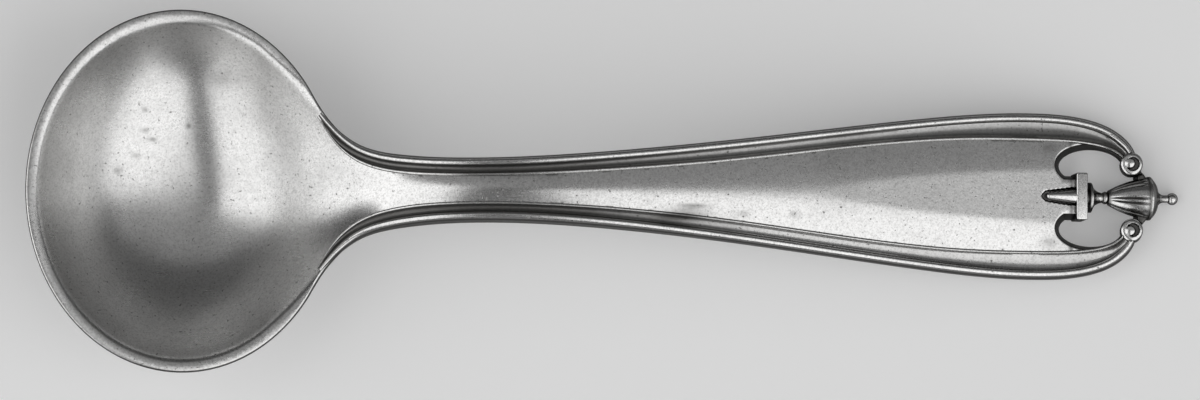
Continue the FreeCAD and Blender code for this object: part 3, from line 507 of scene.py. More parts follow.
class Shell:
    """Collects the faces of one piece, in millimetres, and makes its mesh."""

    def __init__(self):
        self.points = []
        self.faces = []
        self.hollows = []
        self.count = 0

    def add(self, points, faces, hollow=0.0):
        """Adds faces; hollow says how much stains and painted shade darken each point, from 0 to 1."""
        points = np.asarray(points, float).reshape(-1, 3)
        self.points.append(points)
        self.hollows.append(np.broadcast_to(np.asarray(hollow, float).ravel(), len(points)))
        self.faces += [tuple(int(corner) + self.count for corner in face) for face in faces]
        self.count += len(points)

    def grid(self, rows, closed=False, flip=False, hollow=0.0):
        """Quads between rows of points; closed joins the ends of each row."""
        rows = np.asarray(rows, float)
        high, wide = rows.shape[:2]
        faces = []
        for row in range(high - 1):
            for column in range(wide if closed else wide - 1):
                after = (column + 1) % wide
                this, next_row = row * wide, (row + 1) * wide
                face = (this + column, this + after, next_row + after, next_row + column)
                faces.append(face[::-1] if flip else face)
        self.add(rows.reshape(-1, 3), faces, hollow)

    def mesh(self, name, merge=0.0005):
        """The mesh, with points closer than merge made one and the stains and painted shade in its hollow
        attribute.
        """
        if not self.faces:
            raise RuntimeError(name + " has no faces")
        points = np.concatenate(self.points) * MM
        data = bpy.data.meshes.new(name)
        data.from_pydata(points.tolist(), [], self.faces)
        tarnish = data.attributes.new("hollow", "FLOAT", "POINT")
        tarnish.data.foreach_set("value", np.concatenate(self.hollows).astype(np.float32))
        work = bmesh.new()
        work.from_mesh(data)
        bmesh.ops.remove_doubles(work, verts=work.verts, dist=merge * MM)
        bmesh.ops.dissolve_degenerate(work, edges=work.edges, dist=merge * MM / 4)
        work.to_mesh(data)
        work.free()
        return data


def add_piece(name, data, smooth_angle=40):
    """A piece of the spoon that rides with the CAD body."""
    piece = bpy.data.objects.new(name, data)
    bpy.context.scene.collection.objects.link(piece)
    data.shade_smooth()
    data.set_sharp_from_angle(angle=math.radians(smooth_angle))
    data.materials.append(silver_material())
    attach(piece, "root")
    return piece


def inside(points, loop):
    """Which plan points lie inside a closed loop."""
    first, last = loop, np.roll(loop, -1, axis=0)
    rise = np.where(last[:, 1] == first[:, 1], 1e-12, last[:, 1] - first[:, 1])

    def crossed(part):
        x, y = part[:, :1], part[:, 1:]
        crosses = (first[:, 1] > y) != (last[:, 1] > y)
        at = first[:, 0] + (y - first[:, 1]) / rise * (last[:, 0] - first[:, 0])
        return (crosses & (x < at)).sum(axis=1) % 2 == 1

    return in_parts(crossed, points)


def between(points, loops):
    """Which plan points lie inside the first loop and outside the others."""
    found = inside(points, loops[0])
    for hole in loops[1:]:
        found &= ~inside(points, hole)
    return found


def fill(loops, spacing, boxes=(), added=()):
    """Plan points and triangles between a loop and its holes, closer in boxes, with points added."""
    low, high = loops[0].min(axis=0), loops[0].max(axis=0)
    rows = np.arange(low[1], high[1], spacing * math.sqrt(3) / 2)
    columns = np.arange(low[0], high[0], spacing)
    seeds = np.array([(x + spacing / 2 * (number % 2), y) for number, y in enumerate(rows) for x in columns])
    for (left, near), (right, far), step in boxes:
        boxed = (seeds[:, 0] > left) & (seeds[:, 0] < right) & (seeds[:, 1] > near) & (seeds[:, 1] < far)
        finer = [(x, y) for x in np.arange(left, right, step) for y in np.arange(near, far, step)]
        seeds = np.vstack([seeds[~boxed], finer])
    if len(added):
        seeds = np.vstack([seeds, added])
    seeds = seeds[between(seeds, loops)]
    border = np.concatenate(loops)
    clear = in_parts(lambda part: gaps_between(part, border).min(axis=1), seeds) > 0.3 * spacing
    edges = []
    for loop in loops:
        start, count = len(edges), len(loop)
        edges += [(start + place, start + (place + 1) % count) for place in range(count)]
    given = [Vector(point) for point in np.concatenate([border, seeds[clear]])]
    points, _, faces, *_ = delaunay_2d_cdt(given, edges, [], 1, 1e-7)
    points = np.array([tuple(point) for point in points])
    faces = np.array([face for face in faces if len(face) == 3])
    return points, faces[between(points[faces].mean(axis=1), loops)]


def drawn_in(loop, depth):
    """A closed counterclockwise loop moved inwards by depth."""
    ahead = np.roll(loop, -1, axis=0) - np.roll(loop, 1, axis=0)
    ahead /= np.hypot(*ahead.T)[:, None]
    return loop - depth * turned_right(ahead)


def evenly(points, spacing):
    """A closed loop with its points evenly spaced."""
    closed = np.vstack([points, points[:1]])
    run = run_along(closed)
    return at_places(np.linspace(0, run[-1], int(run[-1] / spacing), endpoint=False), run, closed)


def plate_outline(form):
    """Plan of the bowl and handle, counterclockwise, up to the bar under the finial."""
    half_long, half_wide = form.half_bowl_length, form.half_bowl_width
    points, _, _ = form.edge(900)
    share = ((points[:, 0] - form.bowl_x) / half_long) ** 2 + (points[:, 1] / half_wide) ** 2
    edge = points[int(np.argmax(share > 1.0)):]
    corner = edge[0]
    start = math.atan2(corner[1] / half_wide, (corner[0] - form.bowl_x) / half_long)
    turns = np.linspace(start, 2 * math.pi - start, 420)[1:-1]
    bowl = np.stack([form.bowl_x + half_long * np.cos(turns), half_wide * np.sin(turns)], axis=1)
    tail = np.array([(form.tail_x, 0.9 * form.urn_radius), (form.tail_x, -0.9 * form.urn_radius)])
    loop = evenly(np.vstack([edge[::-1], bowl, edge * (1, -1), tail[::-1]]), OUTLINE_SPACING)
    # The corner where the handle leaves the rim is eased by moving points towards their neighbours
    from_corner = np.hypot(loop[:, 0] - corner[0], np.abs(loop[:, 1]) - corner[1])
    share = 0.5 * unit((1.5 - from_corner) / 0.6)[:, None]
    for _ in range(60):
        loop = loop + share * ((np.roll(loop, 1, axis=0) + np.roll(loop, -1, axis=0)) / 2 - loop)
    return loop


def opening_outline(form):
    """Plan of the opening round the finial, counterclockwise: two ovals and the gap between them."""
    middle_x = form.half_length - form.window_from_end
    middle_y = form.window_spacing / 2
    reach, rise = form.window_length / 2, form.window_width / 2
    side = form.tongue_width / 2
    meets = math.pi + math.asin((middle_y - side) / rise)
    tongue_x = form.plinth_x - form.plinth_length / 2
    bar_x = form.tail_x - form.tail_length
    turns = np.linspace(meets, 0, 60)
    oval = np.stack([middle_x + reach * np.cos(turns), middle_y + rise * np.sin(turns)], axis=1)
    upper = np.vstack([[(tongue_x, side)], oval, [(bar_x, middle_y)]])
    return evenly(np.vstack([upper, upper[::-1] * (1, -1)])[::-1], OPENING_SPACING)


# Stains by the near moulding, beside the openings and in the bowl: place, reach along and across, depth
STAINS = (
    ((4.4, -1.40), (1.40, 0.28), 0.80),
    ((4.9, -0.92), (0.85, 0.15), 0.70),
    ((7.7, -1.28), (0.28, 0.16), 0.45),
    ((10.5, -1.28), (0.24, 0.16), 0.45),
    ((24.6, 2.67), (0.45, 0.30), 0.45),
    ((24.6, -2.55), (0.50, 0.30), 0.40),
    ((-21.1, 6.45), (0.85, 0.50), 0.30),
    ((-22.9, 3.97), (0.13, 0.13), 0.80),
    ((-25.3, 4.78), (0.16, 0.14), 0.55),
    ((-25.3, 3.68), (0.20, 0.14), 0.50),
    ((-24.9, 3.20), (0.20, 0.12), 0.60),
    ((-25.8, 2.30), (0.24, 0.14), 0.45),
    ((-26.8, 1.44), (0.22, 0.18), 0.45),
)


def stains(x, y):
    """How deep the stains are at plan points, from 0 to 1."""
    return sum(depth * np.exp(-((x - place[0]) / reach[0]) ** 2 - ((y - place[1]) / reach[1]) ** 2)
               for place, reach, depth in STAINS)


def plate_tarnish(form, plan):
    """Darkening of the plate's top: stains, and painted shade round the spike, by the plinth and between the
    scrolls.
    """
    x, y = plan.T
    by_scrolls = unit((x - form.volute_x + 0.3) / 0.3)
    by_plinth = np.exp(-((x - form.plinth_x + form.plinth_length) / 0.12) ** 2)
    return unit(stains(x, y) + 1.6 * form.round_spike(plan) + by_scrolls + 0.8 * by_plinth)


class SALTSPOON_OT_plate(bpy.types.Operator):
    """Make the bowl and the plain handle"""

    bl_idname = "saltspoon.plate"
    bl_label = "Bowl and Handle"

    def execute(self, context):
        form = Form(context.scene.spoon_form)
        outline = plate_outline(form)
        opening = opening_outline(form)
        soft = form.edge_softness
        shell = Shell()
        for loop, inward in ((outline, 1), (opening, -1)):
            narrow = form.window_draft if inward < 0 else 0.0
            at_top, at_back = drawn_in(loop, inward * soft), drawn_in(loop, inward * soft + narrow)
            top = form.upper(*at_top.T) - form.seat(at_top)
            back = form.lower(*at_back.T)
            rows = []
            for turn in np.radians([0, 22.5, 45, 67.5, 90]):
                depth, fall = inward * soft * (1 - math.cos(turn)), soft * (1 - math.sin(turn))
                rows.append(np.column_stack([drawn_in(loop, depth), top - fall]))
                rows.insert(0, np.column_stack([drawn_in(loop, depth + narrow), back + fall]))
            # The upright part of the wall gets painted shade, darkest in the opening
            wall = np.zeros(len(rows))
            wall[2:8] = 0.9 if inward > 0 else 1.0
            hollow = np.maximum(wall[:, None], plate_tarnish(form, loop))
            shell.grid(rows, closed=True, flip=inward < 0, hollow=hollow)

        # Finer mesh round the spike, where the rim meets the stem, and among the bowl's stains
        low, high = form.bowl_end_x - 1.2, form.shoulder_x + 1.2
        boxes = [((form.spike_x - 0.4, -0.62), (form.plinth_x, 0.62), 0.036),
                 ((low, 1.4), (high, 6.0), 0.08), ((low, -6.0), (high, -1.4), 0.08),
                 ((-27.5, 0.8), (-22.4, 5.4), 0.09)]
        rim = drawn_in(outline, soft)
        plan, faces = fill([rim, drawn_in(opening, -soft)], TOP_SPACING, boxes, form.seat_lines())
        height = form.upper(*plan.T) - form.seat(plan)
        # Its top carries the stains and the painted shade round the spike, by the plinth and between the
        # scrolls
        shell.add(np.column_stack([plan, height]), faces, plate_tarnish(form, plan))
        plan, faces = fill([rim, drawn_in(opening, form.window_draft - soft)], BACK_SPACING)
        shell.add(np.column_stack([plan, form.lower(*plan.T)]), faces[:, ::-1])
        piece = add_piece("bowl_and_handle", shell.mesh("bowl_and_handle"))
        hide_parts(NODE)
        return {"FINISHED"}


def moulding_profile(form, points, inward, width, sink):
    """Rows of the bead, cove and thread at every place along the edge, outer side first."""

    def drawn(depth):
        return points + inward * np.broadcast_to(depth, len(points))[:, None]

    def plate(depth):
        return form.upper(*drawn(depth).T)

    scale = np.minimum(1.0, width / form.neck_moulding)
    crest = form.edge_top(points[:, 0] + inward[:, 0] * width / 2) - sink
    bead = form.bead_width * scale
    bead_round = form.bead_round * scale
    thread = form.thread_width * scale
    thread_top = plate(width - thread / 2) + form.thread_rise * np.maximum(scale, 0.6) - sink
    cove_end = width - thread
    cove_bottom = (crest - bead_round + thread_top) / 2 - form.cove_depth * scale
    floor = np.minimum(np.minimum(plate(0.05), plate(width)), cove_bottom) - form.moulding_root

    def bulge(first, last, middle, count):
        """Rows after the first of a rounded line whose middle passes the given height."""
        rise = middle - (first[1] + last[1]) / 2
        rows = []
        for step in range(1, count + 1):
            share = step / count
            depth = first[0] * (1 - share) + last[0] * share
            full = 1 - abs(2 * share - 1) ** 2.6
            rows.append((depth, first[1] * (1 - share) + last[1] * share + full * rise))
        return rows

    foot = (np.zeros(len(points)), crest - bead_round * 1.3)
    inner_foot = (0.05 + bead, crest - bead_round)
    thread_foot = (cove_end, thread_top - thread / 2)
    inside_foot = (width, thread_top - thread / 2)
    lines = [(-0.004 * np.ones(len(points)), floor), foot]
    lines += bulge(foot, inner_foot, crest, BEAD_ROWS)
    lines += bulge(inner_foot, thread_foot, cove_bottom, COVE_ROWS)
    lines += bulge(thread_foot, inside_foot, thread_top, THREAD_ROWS)
    lines.append((width, floor))
    return np.array([np.column_stack([drawn(depth), np.broadcast_to(height, len(points))])
                     for depth, height in lines])


def moulding_tarnish(share, kept):
    """Painted shade on each row and place: deepest in the cove and on the sides, and less along the handle.
    """
    across = np.zeros(BEAD_ROWS + COVE_ROWS + THREAD_ROWS + 3)
    across[:4] = np.array([0.95, 0.8, 0.4, 0.1]) * kept
    cove = 1 + BEAD_ROWS
    thread = cove + COVE_ROWS + 1
    across[cove - 3:cove] = 0.1, 0.3, 0.6
    across[cove:thread] = 0.6 + 0.4 * np.sin(np.linspace(0, math.pi, COVE_ROWS + 1))
    across[thread:thread + 2] = 0.8, 0.5
    across[-2:] = 0.6, 0.9
    along = unit((share - share[0]) / 0.03)
    along *= 1 - (1 - 0.7 * kept) * unit((share - 0.35) / 0.2)
    return np.outer(across, along)


class SALTSPOON_OT_moulding(bpy.types.Operator):
    """Make the threaded moulding along both edges"""

    bl_idname = "saltspoon.moulding"
    bl_label = "Threaded Edges"

    def execute(self, context):
        form = Form(context.scene.spoon_form)
        points, ahead, distance = form.edge(520)
        share = distance / distance[-1]
        start = form.leaves_rim(points)
        points, ahead, share = points[start:], ahead[start:], share[start:]
        # It starts a little lower at the rim, and rises to the scroll's height at its end
        sink = 0.06 * np.maximum(0.0, 1 - (share - share[0]) / 0.02)
        curl = unit((share - 0.945) / 0.055)
        sink = sink - (form.volute_rise - 0.03) * curl ** 2 * (3 - 2 * curl)
        rows = moulding_profile(form, points, turned_right(ahead), form.moulding_at(share), sink)
        from_scroll = np.hypot(rows[:, :, 0] - form.volute_x, rows[:, :, 1] - form.volute_y)
        # Inside the scroll it drops out of sight
        rows[:, :, 2] -= 0.9 * unit((0.93 * form.volute_radius - from_scroll) / 0.05)
        shell = Shell()
        # The near side, towards the lights, gets less painted shade than the far one
        for side, kept in ((1, 1), (-1, 0.45)):
            laid = rows * (1, side, 1)
            hollow = unit(moulding_tarnish(share, kept) + stains(laid[:, :, 0], laid[:, :, 1]))
            shell.grid(laid, flip=side < 0, hollow=hollow)
        add_piece("edge_moulding", shell.mesh("edge_moulding"), 30)
        return {"FINISHED"}


class SALTSPOON_OT_scrolls(bpy.types.Operator):
    """Make the two scrolls that end the arms"""

    bl_idname = "saltspoon.scrolls"
    bl_label = "Scrolls"

    def execute(self, context):
        form = Form(context.scene.spoon_form)
        top = form.end_thickness + form.volute_rise
        radius = form.volute_radius
        base = float(form.back_line(form.volute_x))
        turns = np.linspace(0, 2 * math.pi, 120, endpoint=False)
        # The button and the groove have different middles, which leaves a crescent beside the button
        button = (-0.08, 0.04)
        groove_x, groove_radius, groove_side = 0.07, 0.36, 0.06
        roll, roll_drop, dome_rise = 0.20, 0.17, 0.07
        rows = []
        # The hollows hold painted shade in the groove, on the rolled edge and down the side
        hollows = []
        for share in np.linspace(0.0, 1.0, 44):
            at = radius * (1 - share)
            x, y = at * np.cos(turns), at * np.sin(turns)
            from_button = np.hypot(x - button[0], y - button[1])
            outer = unit((groove_radius - np.hypot(x - groove_x, y)) / groove_side + 0.5)
            inner = unit((from_button - 0.9 * form.boss_radius) / groove_side + 0.5)
            groove = outer * inner
            dome = unit(1 - (from_button / form.boss_radius) ** 2)
            rolled = np.sqrt(max(1 - (max(at - radius + roll, 0) / roll) ** 2, 0))
            height = top - roll_drop * (1 - rolled) - 0.85 * form.volute_roll * groove + dome_rise * dome
            if share == 0:
                rows.append(np.column_stack([x, y, 0 * turns]))
                hollows.append(0.9 + 0 * turns)
            rows.append(np.column_stack([x, y, height]))
            hollows.append(groove + (0.5 if share == 0 else 0.0))
        rows = np.array(rows) + (form.volute_x, form.volute_y, base)
        hollow = np.concatenate(hollows)
        shell = Shell()
        shell.grid(rows, closed=True, hollow=hollow)
        shell.grid(rows * (1, -1, 1), closed=True, flip=True, hollow=hollow)
        add_piece("scrolls", shell.mesh("scrolls"), 60)
        return {"FINISHED"}


def bowed(first, last, rise, count):
    """Points after the first of a line that bulges by rise, or is hollow where rise is negative."""
    first, last = np.array(first, float), np.array(last, float)
    chord = last - first
    outward = np.array([chord[1], -chord[0]]) / np.hypot(*chord)
    shares = np.linspace(0, 1, count + 1)[1:]
    return [tuple(first + chord * share + outward * 4 * share * (1 - share) * rise) for share in shares]


def lathe(profile, turns, flute=None):
    """Rows of points round the X axis for (x, radius) profile points."""
    rows = []
    for x, radius in profile:
        radii = radius - (flute(x, turns) if flute else 0 * turns)
        across, up = -radii * np.sin(turns), radii * np.cos(turns)
        rows.append(np.column_stack([np.full(len(turns), x), across, up]))
    return np.array(rows)


def side_tarnish(least, turns):
    """Painted shade round a turned form: least on top, and more down its sides."""
    return np.clip(least - 1.2 * np.cos(turns), 0, 0.95)


class SALTSPOON_OT_finial(bpy.types.Operator):
    """Make the turned urn, its plinth and its spike"""

    bl_idname = "saltspoon.finial"
    bl_label = "Urn Finial"

    def execute(self, context):
        form = Form(context.scene.spoon_form)
        # Places along the finial's axis, from its tip, where each part starts
        lid = -form.lid_from_end
        band = lid - form.lid_length
        fluted = band - form.band_length
        collar = fluted - form.body_length
        flare = collar - form.collar_length
        foot = flare - form.foot_length
        core = foot - form.foot_disc
        plinth = core - form.plinth_gap
        plinth_foot = plinth - form.plinth_length
        urn_radius, foot_radius = form.urn_radius, form.foot_radius
        body_radius = urn_radius - form.band_step
        ball = form.ball_radius
        soft = 0.03

        profile = [(0, 0.001)]
        for turn in np.linspace(8, 143, 16):
            angle = math.radians(turn)
            profile.append((-ball + ball * math.cos(angle), ball * math.sin(angle)))
        profile += [(lid + 0.02, form.lid_neck), (lid, form.lid_neck)]
        middle = (lid - form.lid_length / 2, urn_radius * 0.45)
        profile += bowed((lid, form.lid_neck), middle, -form.lid_hollow, 10)
        profile += bowed(middle, (band, body_radius), form.lid_swell, 12)
        profile += [(band - soft, urn_radius - soft / 2), (band - 2 * soft, urn_radius),
                    (fluted + 2 * soft, urn_radius), (fluted + soft / 2, urn_radius - soft / 2),
                    (fluted, urn_radius - soft), (fluted, body_radius)]
        profile += bowed((fluted, body_radius), (collar, form.collar_radius * 1.5), form.body_swell, 36)
        collar_foot = (flare, form.collar_radius)
        profile += [(collar, form.collar_radius)]
        profile += bowed((collar, form.collar_radius), collar_foot, form.collar_length / 4, 10)
        profile += bowed(collar_foot, (foot, foot_radius), -form.foot_hollow, 14)
        profile += [(foot - soft, foot_radius + soft / 2), (core + soft, foot_radius + soft / 2),
                    (core, foot_radius - soft / 2), (core, form.core_radius),
                    (plinth - 0.1, form.core_radius)]

        def flute(x, turns):
            """Depth of the fine grooves that run in pairs down the body."""
            run = unit((fluted - x) / form.body_length)
            deep = 0.085 * unit(4.5 * run) * unit(4 * (1 - run)) * (fluted > x > collar)
            step = 2 * math.pi / form.flute_pairs
            found = 0 * turns
            for side in (-0.5, 0.5):
                at = math.radians(form.flute_turn + side * form.flute_gap)
                gap = (turns - at + step / 2) % step - step / 2
                found = np.maximum(found, np.exp(-(gap / math.radians(form.flute_angle / 2)) ** 2))
            return deep * found

        turns = np.linspace(0, 2 * math.pi, 240, endpoint=False)
        shell = Shell()
        # Corners that get painted shade: place, reach along the axis and depth
        recesses = ((lid, 0.16, 0.5), (fluted, 0.10, 0.8), (collar, 0.12, 0.9), (flare, 0.10, 0.8),
                    (core - form.plinth_gap / 2, 0.2, 1.0))
        hollow = []
        for x, _ in profile:
            near = max(depth * math.exp(-((x - at) / reach) ** 2) for at, reach, depth in recesses)
            # Painted shade in the flutes, in the corners and down the sides
            grooves = unit(flute(x, turns) / 0.06)
            hollow.append(np.maximum(np.maximum(near, side_tarnish(0.25, turns)), grooves))
        shell.grid(lathe(profile, turns, flute), closed=True, flip=True, hollow=np.concatenate(hollow))

        tip = plinth_foot - form.spike_length
        spike = [(plinth - form.plinth_length / 2, form.spike_radius)]
        spike += [(plinth_foot - share * (form.spike_length - form.spike_tip),
                   form.spike_radius + share * (form.spike_tip - form.spike_radius))
                  for share in (0, 0.25, 0.5, 0.75)]
        for turn in np.linspace(0, 88, 8):
            angle = math.radians(turn)
            spike.append((tip + form.spike_tip * (1 - math.sin(angle)), form.spike_tip * math.cos(angle)))
        coarse = turns[::4]
        rows = lathe(spike, coarse)
        # The spike's upper line is level: its axis rises as it thins
        run = unit((plinth_foot - rows[:, :, 0]) / form.spike_length)
        rows[:, :, 2] += form.spike_lift + run * (form.spike_radius - form.spike_tip)
        # The spike gets painted shade down its sides
        shell.grid(rows, closed=True, flip=True, hollow=np.tile(side_tarnish(0.55, coarse), len(spike)))

        points = np.concatenate(shell.points)
        points[:, 2] = np.maximum(points[:, 2], -form.urn_lift)
        shell.points = [points]
        data = shell.mesh("urn_finial")
        self.add_plinth(form, data, plinth - form.plinth_length / 2)
        add_piece("urn_finial", data, 35)
        return {"FINISHED"}

    def add_plinth(self, form, data, x):
        """Adds the plinth to the finial's mesh and lays the whole on the handle's slope."""
        bevel = 0.09
        height = form.plinth_height + form.urn_lift
        block = bmesh.new()
        block.from_mesh(data)
        made = bmesh.ops.create_cube(block, size=1.0)["verts"]
        scale = Matrix.Diagonal((form.plinth_length * MM, form.plinth_width * MM, height * MM, 1))
        place = Vector((x, 0, form.plinth_height - height / 2)) * MM
        bmesh.ops.transform(block, matrix=Matrix.Translation(place) @ scale, verts=made)
        edges = list({edge for vert in made for edge in vert.link_edges})
        before = set(block.verts) - set(made)
        bmesh.ops.bevel(block, geom=edges, offset=bevel * MM, segments=4, profile=0.6, affect="EDGES")
        # Painted shade on the plinth: dark everywhere below the rounding of its top
        tarnish = block.verts.layers.float["hollow"]
        for vert in set(block.verts) - before:
            down = (form.plinth_height - vert.co.z / MM) / bevel
            vert[tarnish] = min(max(down - 0.35, 0.0), 0.95)
        fall = (float(form.back_line(form.wide_x)) - form.back_crown) / (form.rest_x - form.wide_x)
        tip = Vector((form.half_length, 0, form.urn_lift - form.rest_from_end * fall)) * MM
        slope = Matrix.Translation(tip) @ Matrix.Rotation(math.atan(fall), 4, "Y")
        bmesh.ops.transform(block, matrix=slope, verts=block.verts)
        block.to_mesh(data)
        block.free()


class Socket:
    """A shader value that can be written into sums, as if it were a number."""

    def __init__(self, shop, output):
        self.shop = shop
        self.output = output

    def sum(self, operation, other, turned=False):
        """A Math node of this value and another, or of the other and this where turned."""
        pair = (other, self) if turned else (self, other)
        return self.shop.node("ShaderNodeMath", {"operation": operation}, dict(enumerate(pair)))

    def __add__(self, other):
        return self.sum("ADD", other)

    __radd__ = __add__

    def __mul__(self, other):
        return self.sum("MULTIPLY", other)

    __rmul__ = __mul__

    def __sub__(self, other):
        return self.sum("SUBTRACT", other)

    def __rsub__(self, other):
        return self.sum("SUBTRACT", other, turned=True)


class Shop:
    """Adds nodes to one material and links them."""

    def __init__(self, name):
        self.material = bpy.data.materials.new(name)
        self.material.use_nodes = True
        self.tree = self.material.node_tree
        self.tree.nodes.clear()

    def node(self, kind, settings=None, inputs=None, output=0):
        """A node from its type, its settings and the values or links of its sockets."""
        made = self.tree.nodes.new(kind)
        for name, value in (settings or {}).items():
            if name == "stops":
                for stop, (position, tone) in zip(made.color_ramp.elements, value):
                    stop.position = position
                    stop.color = (tone, tone, tone, 1)
            else:
                setattr(made, name, value)
        for name, value in (inputs or {}).items():
            if isinstance(value, Socket):
                self.tree.links.new(value.output, made.inputs[name])
            else:
                made.inputs[name].default_value = value
        return Socket(self, made.outputs[output]) if made.outputs else None

    def ramp(self, value, *stops):
        """The value turned into another by two stops of place and tone."""
        return self.node("ShaderNodeValToRGB", {"stops": stops}, {"Fac": value})

    def noise(self, place, scale, detail, rough=0.55):
        """Soft noise between 0 and 1."""
        return self.node("ShaderNodeTexNoise", None, {
            "Vector": place, "Scale": scale, "Detail": detail, "Roughness": rough})

    def blend(self, share, first, second):
        """The first colour where the share is 0 and the second where it is 1."""
        return self.node("ShaderNodeMix", {"data_type": "RGBA"}, {
            "Factor": share, "A": first, "B": second}, output="Result")


def silver_material():
    """Worn satin silver with painted shade, shared by all the pieces."""
    known = bpy.data.materials.get(FINISH)
    if known:
        return known
    scene = bpy.context.scene
    finish = scene.silver_finish
    form = Form(scene.spoon_form)
    shop = Shop(FINISH)
    clean = (*finish.silver, 1)
    dull = (*finish.tarnish, 1)
    place = shop.node("ShaderNodeTexCoord", output="Object")
    stretched = shop.node("ShaderNodeMapping", None, {
        "Vector": place, "Scale": (600.0, 9000.0, 2000.0), "Rotation": (0, 0, 0.3)})
    cloudy = shop.noise(place, 260.0, 4.0)
    mottled = shop.noise(place, 4200.0, 4.0, 0.75)
    grain = shop.noise(place, 9000.0, 2.0)
    brushed = shop.noise(stretched, 1.0, 3.0)
    pitted = shop.ramp(shop.noise(place, 6500.0, 0.5), (0.71, 0.0), (0.78, 1.0))
    # Upright sides get painted shade: the colour darkens where the surface faces sideways
    facing = shop.node("ShaderNodeTexCoord", output="Normal")
    upward = shop.node("ShaderNodeSeparateXYZ", None, {"Vector": facing}, output="Z")
    steep = shop.ramp(upward * upward, (0.14, 0.96), (0.46, 0.0))
    # The hollow attribute holds the stains and the painted shade laid on each piece
    hollow = shop.node("ShaderNodeAttribute", {"attribute_name": "hollow"}, output="Fac")
    along = shop.node("ShaderNodeSeparateXYZ", None, {"Vector": place}, output="X")
    in_bowl = shop.node("ShaderNodeMapRange", None, {
        "Value": along, "From Min": (form.bowl_end_x - 3.0) * MM, "From Max": form.neck_x * MM,
        "To Min": finish.bowl_wear, "To Max": 0.0})
    roughness = finish.satin + in_bowl + 0.10 * (cloudy - 0.5) + 0.04 * (brushed - 0.5)
    roughness = roughness + 0.2 * pitted + 0.15 * hollow
    # The noises and pits are marks on the metal; the hollow share is stains and painted shade, and the share
    # for upright sides is painted shade
    base = clean
    for share in (
            shop.ramp(cloudy, (0.45, 0.0), (0.80, 0.22)), shop.ramp(mottled, (0.42, 0.0), (0.75, 0.20)),
            shop.ramp(grain, (0.45, 0.0), (0.80, 0.35)), pitted * 0.6, hollow * 0.92, steep):
        base = shop.blend(share, base, dull)
    height = 0.2 * brushed + 0.6 * grain - 1.2 * pitted
    bump = shop.node("ShaderNodeBump", None, {"Strength": 0.10, "Distance": 0.00002, "Height": height})
    shader = shop.node("ShaderNodeBsdfPrincipled", None, {
        "Base Color": base, "Metallic": 1.0, "Roughness": roughness, "Normal": bump})
    shop.node("ShaderNodeOutputMaterial", None, {"Surface": shader})
    return shop.material


def floor_material(studio):
    """A matt pale sheet that looks a little lighter to the camera."""
    shop = Shop("pale_sheet")
    seen = shop.node("ShaderNodeLightPath", output="Is Camera Ray")
    paper = shop.blend(seen, (*studio.floor, 1), (*studio.floor_seen, 1))
    lift = shop.blend(seen, (0, 0, 0, 1), (*[studio.floor_lift] * 3, 1))
    shader = shop.node("ShaderNodeBsdfPrincipled", None, {
        "Base Color": paper, "Roughness": 0.9, "Specular IOR Level": 0.1,
        "Emission Color": lift, "Emission Strength": 1.0})
    shop.node("ShaderNodeOutputMaterial", None, {"Surface": shader})
    return shop.material


def area_light(name, place, target, extent, brightness, along=(0, 1, 0)):
    """A soft rectangular light of the given brightness; the second of its sides follows along."""
    data = bpy.data.lights.new(name, "AREA")
    data.shape = "RECTANGLE"
    data.size, data.size_y = extent
    data.energy = brightness * math.pi * extent[0] * extent[1]
    light = bpy.data.objects.new(name, data)
    light.location = place
    aim = Vector(target) - Vector(place)
    across = aim.cross(Vector(along)).normalized()
    axes = Matrix((across, across.cross(aim).normalized(), -aim.normalized()))
    light.rotation_euler = axes.transposed().to_euler()
    bpy.context.scene.collection.objects.link(light)


# Soft lights over both sides: name, lean and spread in degrees, slant of the second side, place along Y
SIDE_LIGHTS = (("left_light", -52, 30, 0.16, -0.64), ("right_light", 39, 36, -0.04, -0.76))
# Dim lights beyond the spoon: name, place, size and brightness beside the back light's
BACK_LIGHTS = (("back_light", (0, 0.27, 0.60), (2.6, 0.42), 1.0),
               ("far_light", (0, 0.72, 0.40), (2.6, 0.45), 0.15))
# Where the camera looks, in millimetres
LOOK_AT = (-0.19, -0.36, 4.0)


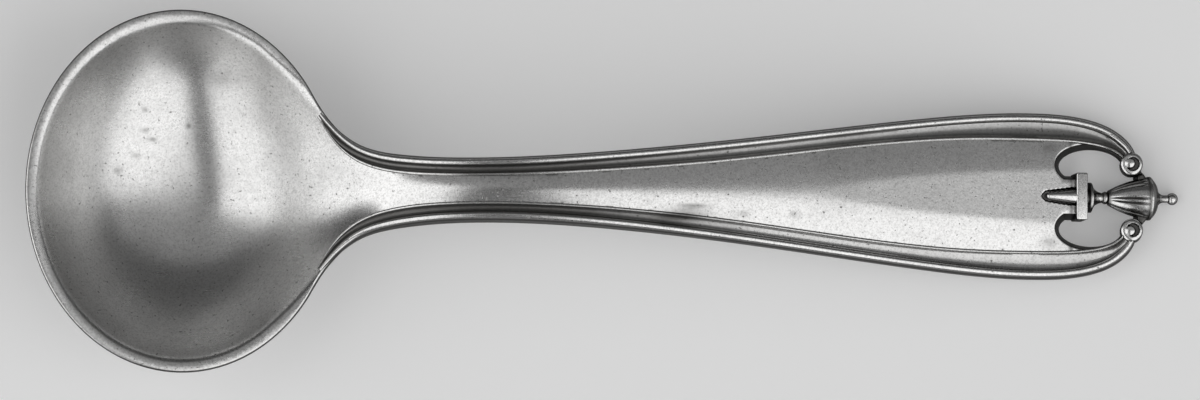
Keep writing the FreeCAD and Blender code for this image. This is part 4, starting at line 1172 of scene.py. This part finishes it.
class SALTSPOON_OT_stage(bpy.types.Operator):
    """Set up the floor, the lights and the camera"""

    bl_idname = "saltspoon.stage"
    bl_label = "Studio"

    def execute(self, context):
        scene = context.scene
        studio = scene.studio_setup
        floor_mesh = bpy.data.meshes.new("floor")
        half = 2.0
        corners = [(-half, -half, 0), (half, -half, 0), (half, half, 0), (-half, half, 0)]
        floor_mesh.from_pydata(corners, [], [(0, 1, 2, 3)])
        floor = bpy.data.objects.new("floor", floor_mesh)
        floor.location.z = CAD_LOW.z - 0.02 * MM
        floor_mesh.materials.append(floor_material(studio))
        scene.collection.objects.link(floor)

        world = bpy.data.worlds.new("room")
        world.use_nodes = True
        background = world.node_tree.nodes["Background"]
        background.inputs["Color"].default_value = (1, 1, 1, 1)
        background.inputs["Strength"].default_value = studio.ambient
        scene.world = world

        for name, lean, spread, slant, near in SIDE_LIGHTS:
            toward = Vector((math.sin(math.radians(lean)), 0, math.cos(math.radians(lean))))
            place = toward * 0.55 + Vector((0, near, 0))
            width = 1.1 * math.tan(math.radians(spread))
            area_light(name, place, place - toward, (width, 1.6), studio.side_light, (slant, 1, 0))
            area_light(name + "_wing", (0.85 * math.copysign(1, lean), -0.15, 0.12),
                       (0, -0.15, 0), (0.18, 0.8), studio.wing_light)
        for name, place, extent, share in BACK_LIGHTS:
            area_light(name, place, (0, 0, 0), extent, share * studio.back_light)

        camera_data = bpy.data.cameras.new("camera")
        camera = bpy.data.objects.new("camera", camera_data)
        distance = studio.camera_distance
        camera_data.lens = camera_data.sensor_width * distance / studio.seen_width
        camera_data.clip_start = distance / 10
        camera_data.clip_end = distance * 10
        back = Vector((0, -math.sin(studio.tilt), math.cos(studio.tilt)))
        camera.location = Vector(LOOK_AT) * MM + back * distance
        camera.rotation_euler = (studio.tilt, 0, 0)
        scene.collection.objects.link(camera)
        scene.camera = camera
        scene.view_settings.view_transform = "Standard"
        return {"FINISHED"}


STEPS = (SALTSPOON_OT_plate, SALTSPOON_OT_moulding, SALTSPOON_OT_scrolls, SALTSPOON_OT_finial,
         SALTSPOON_OT_stage)


class SALTSPOON_PT_panel(bpy.types.Panel):
    """The spoon's steps in the sidebar"""

    bl_idname = "SALTSPOON_PT_panel"
    bl_label = "Silver Salt Spoon"
    bl_space_type = "VIEW_3D"
    bl_region_type = "UI"
    bl_category = "Spoon"

    def draw(self, context):
        for step in STEPS:
            self.layout.operator(step.bl_idname)


CLASSES = (SpoonForm, SilverFinish, StudioSetup, *STEPS, SALTSPOON_PT_panel)


def register():
    for item in CLASSES:
        bpy.utils.register_class(item)
    bpy.types.Scene.spoon_form = PointerProperty(type=SpoonForm)
    bpy.types.Scene.silver_finish = PointerProperty(type=SilverFinish)
    bpy.types.Scene.studio_setup = PointerProperty(type=StudioSetup)


def unregister():
    del bpy.types.Scene.spoon_form
    del bpy.types.Scene.silver_finish
    del bpy.types.Scene.studio_setup
    for item in reversed(CLASSES):
        bpy.utils.unregister_class(item)


def main():
    register()
    bpy.ops.saltspoon.plate()
    bpy.ops.saltspoon.moulding()
    bpy.ops.saltspoon.scrolls()
    bpy.ops.saltspoon.finial()
    bpy.ops.saltspoon.stage()


if __name__ == "__main__":
    main()
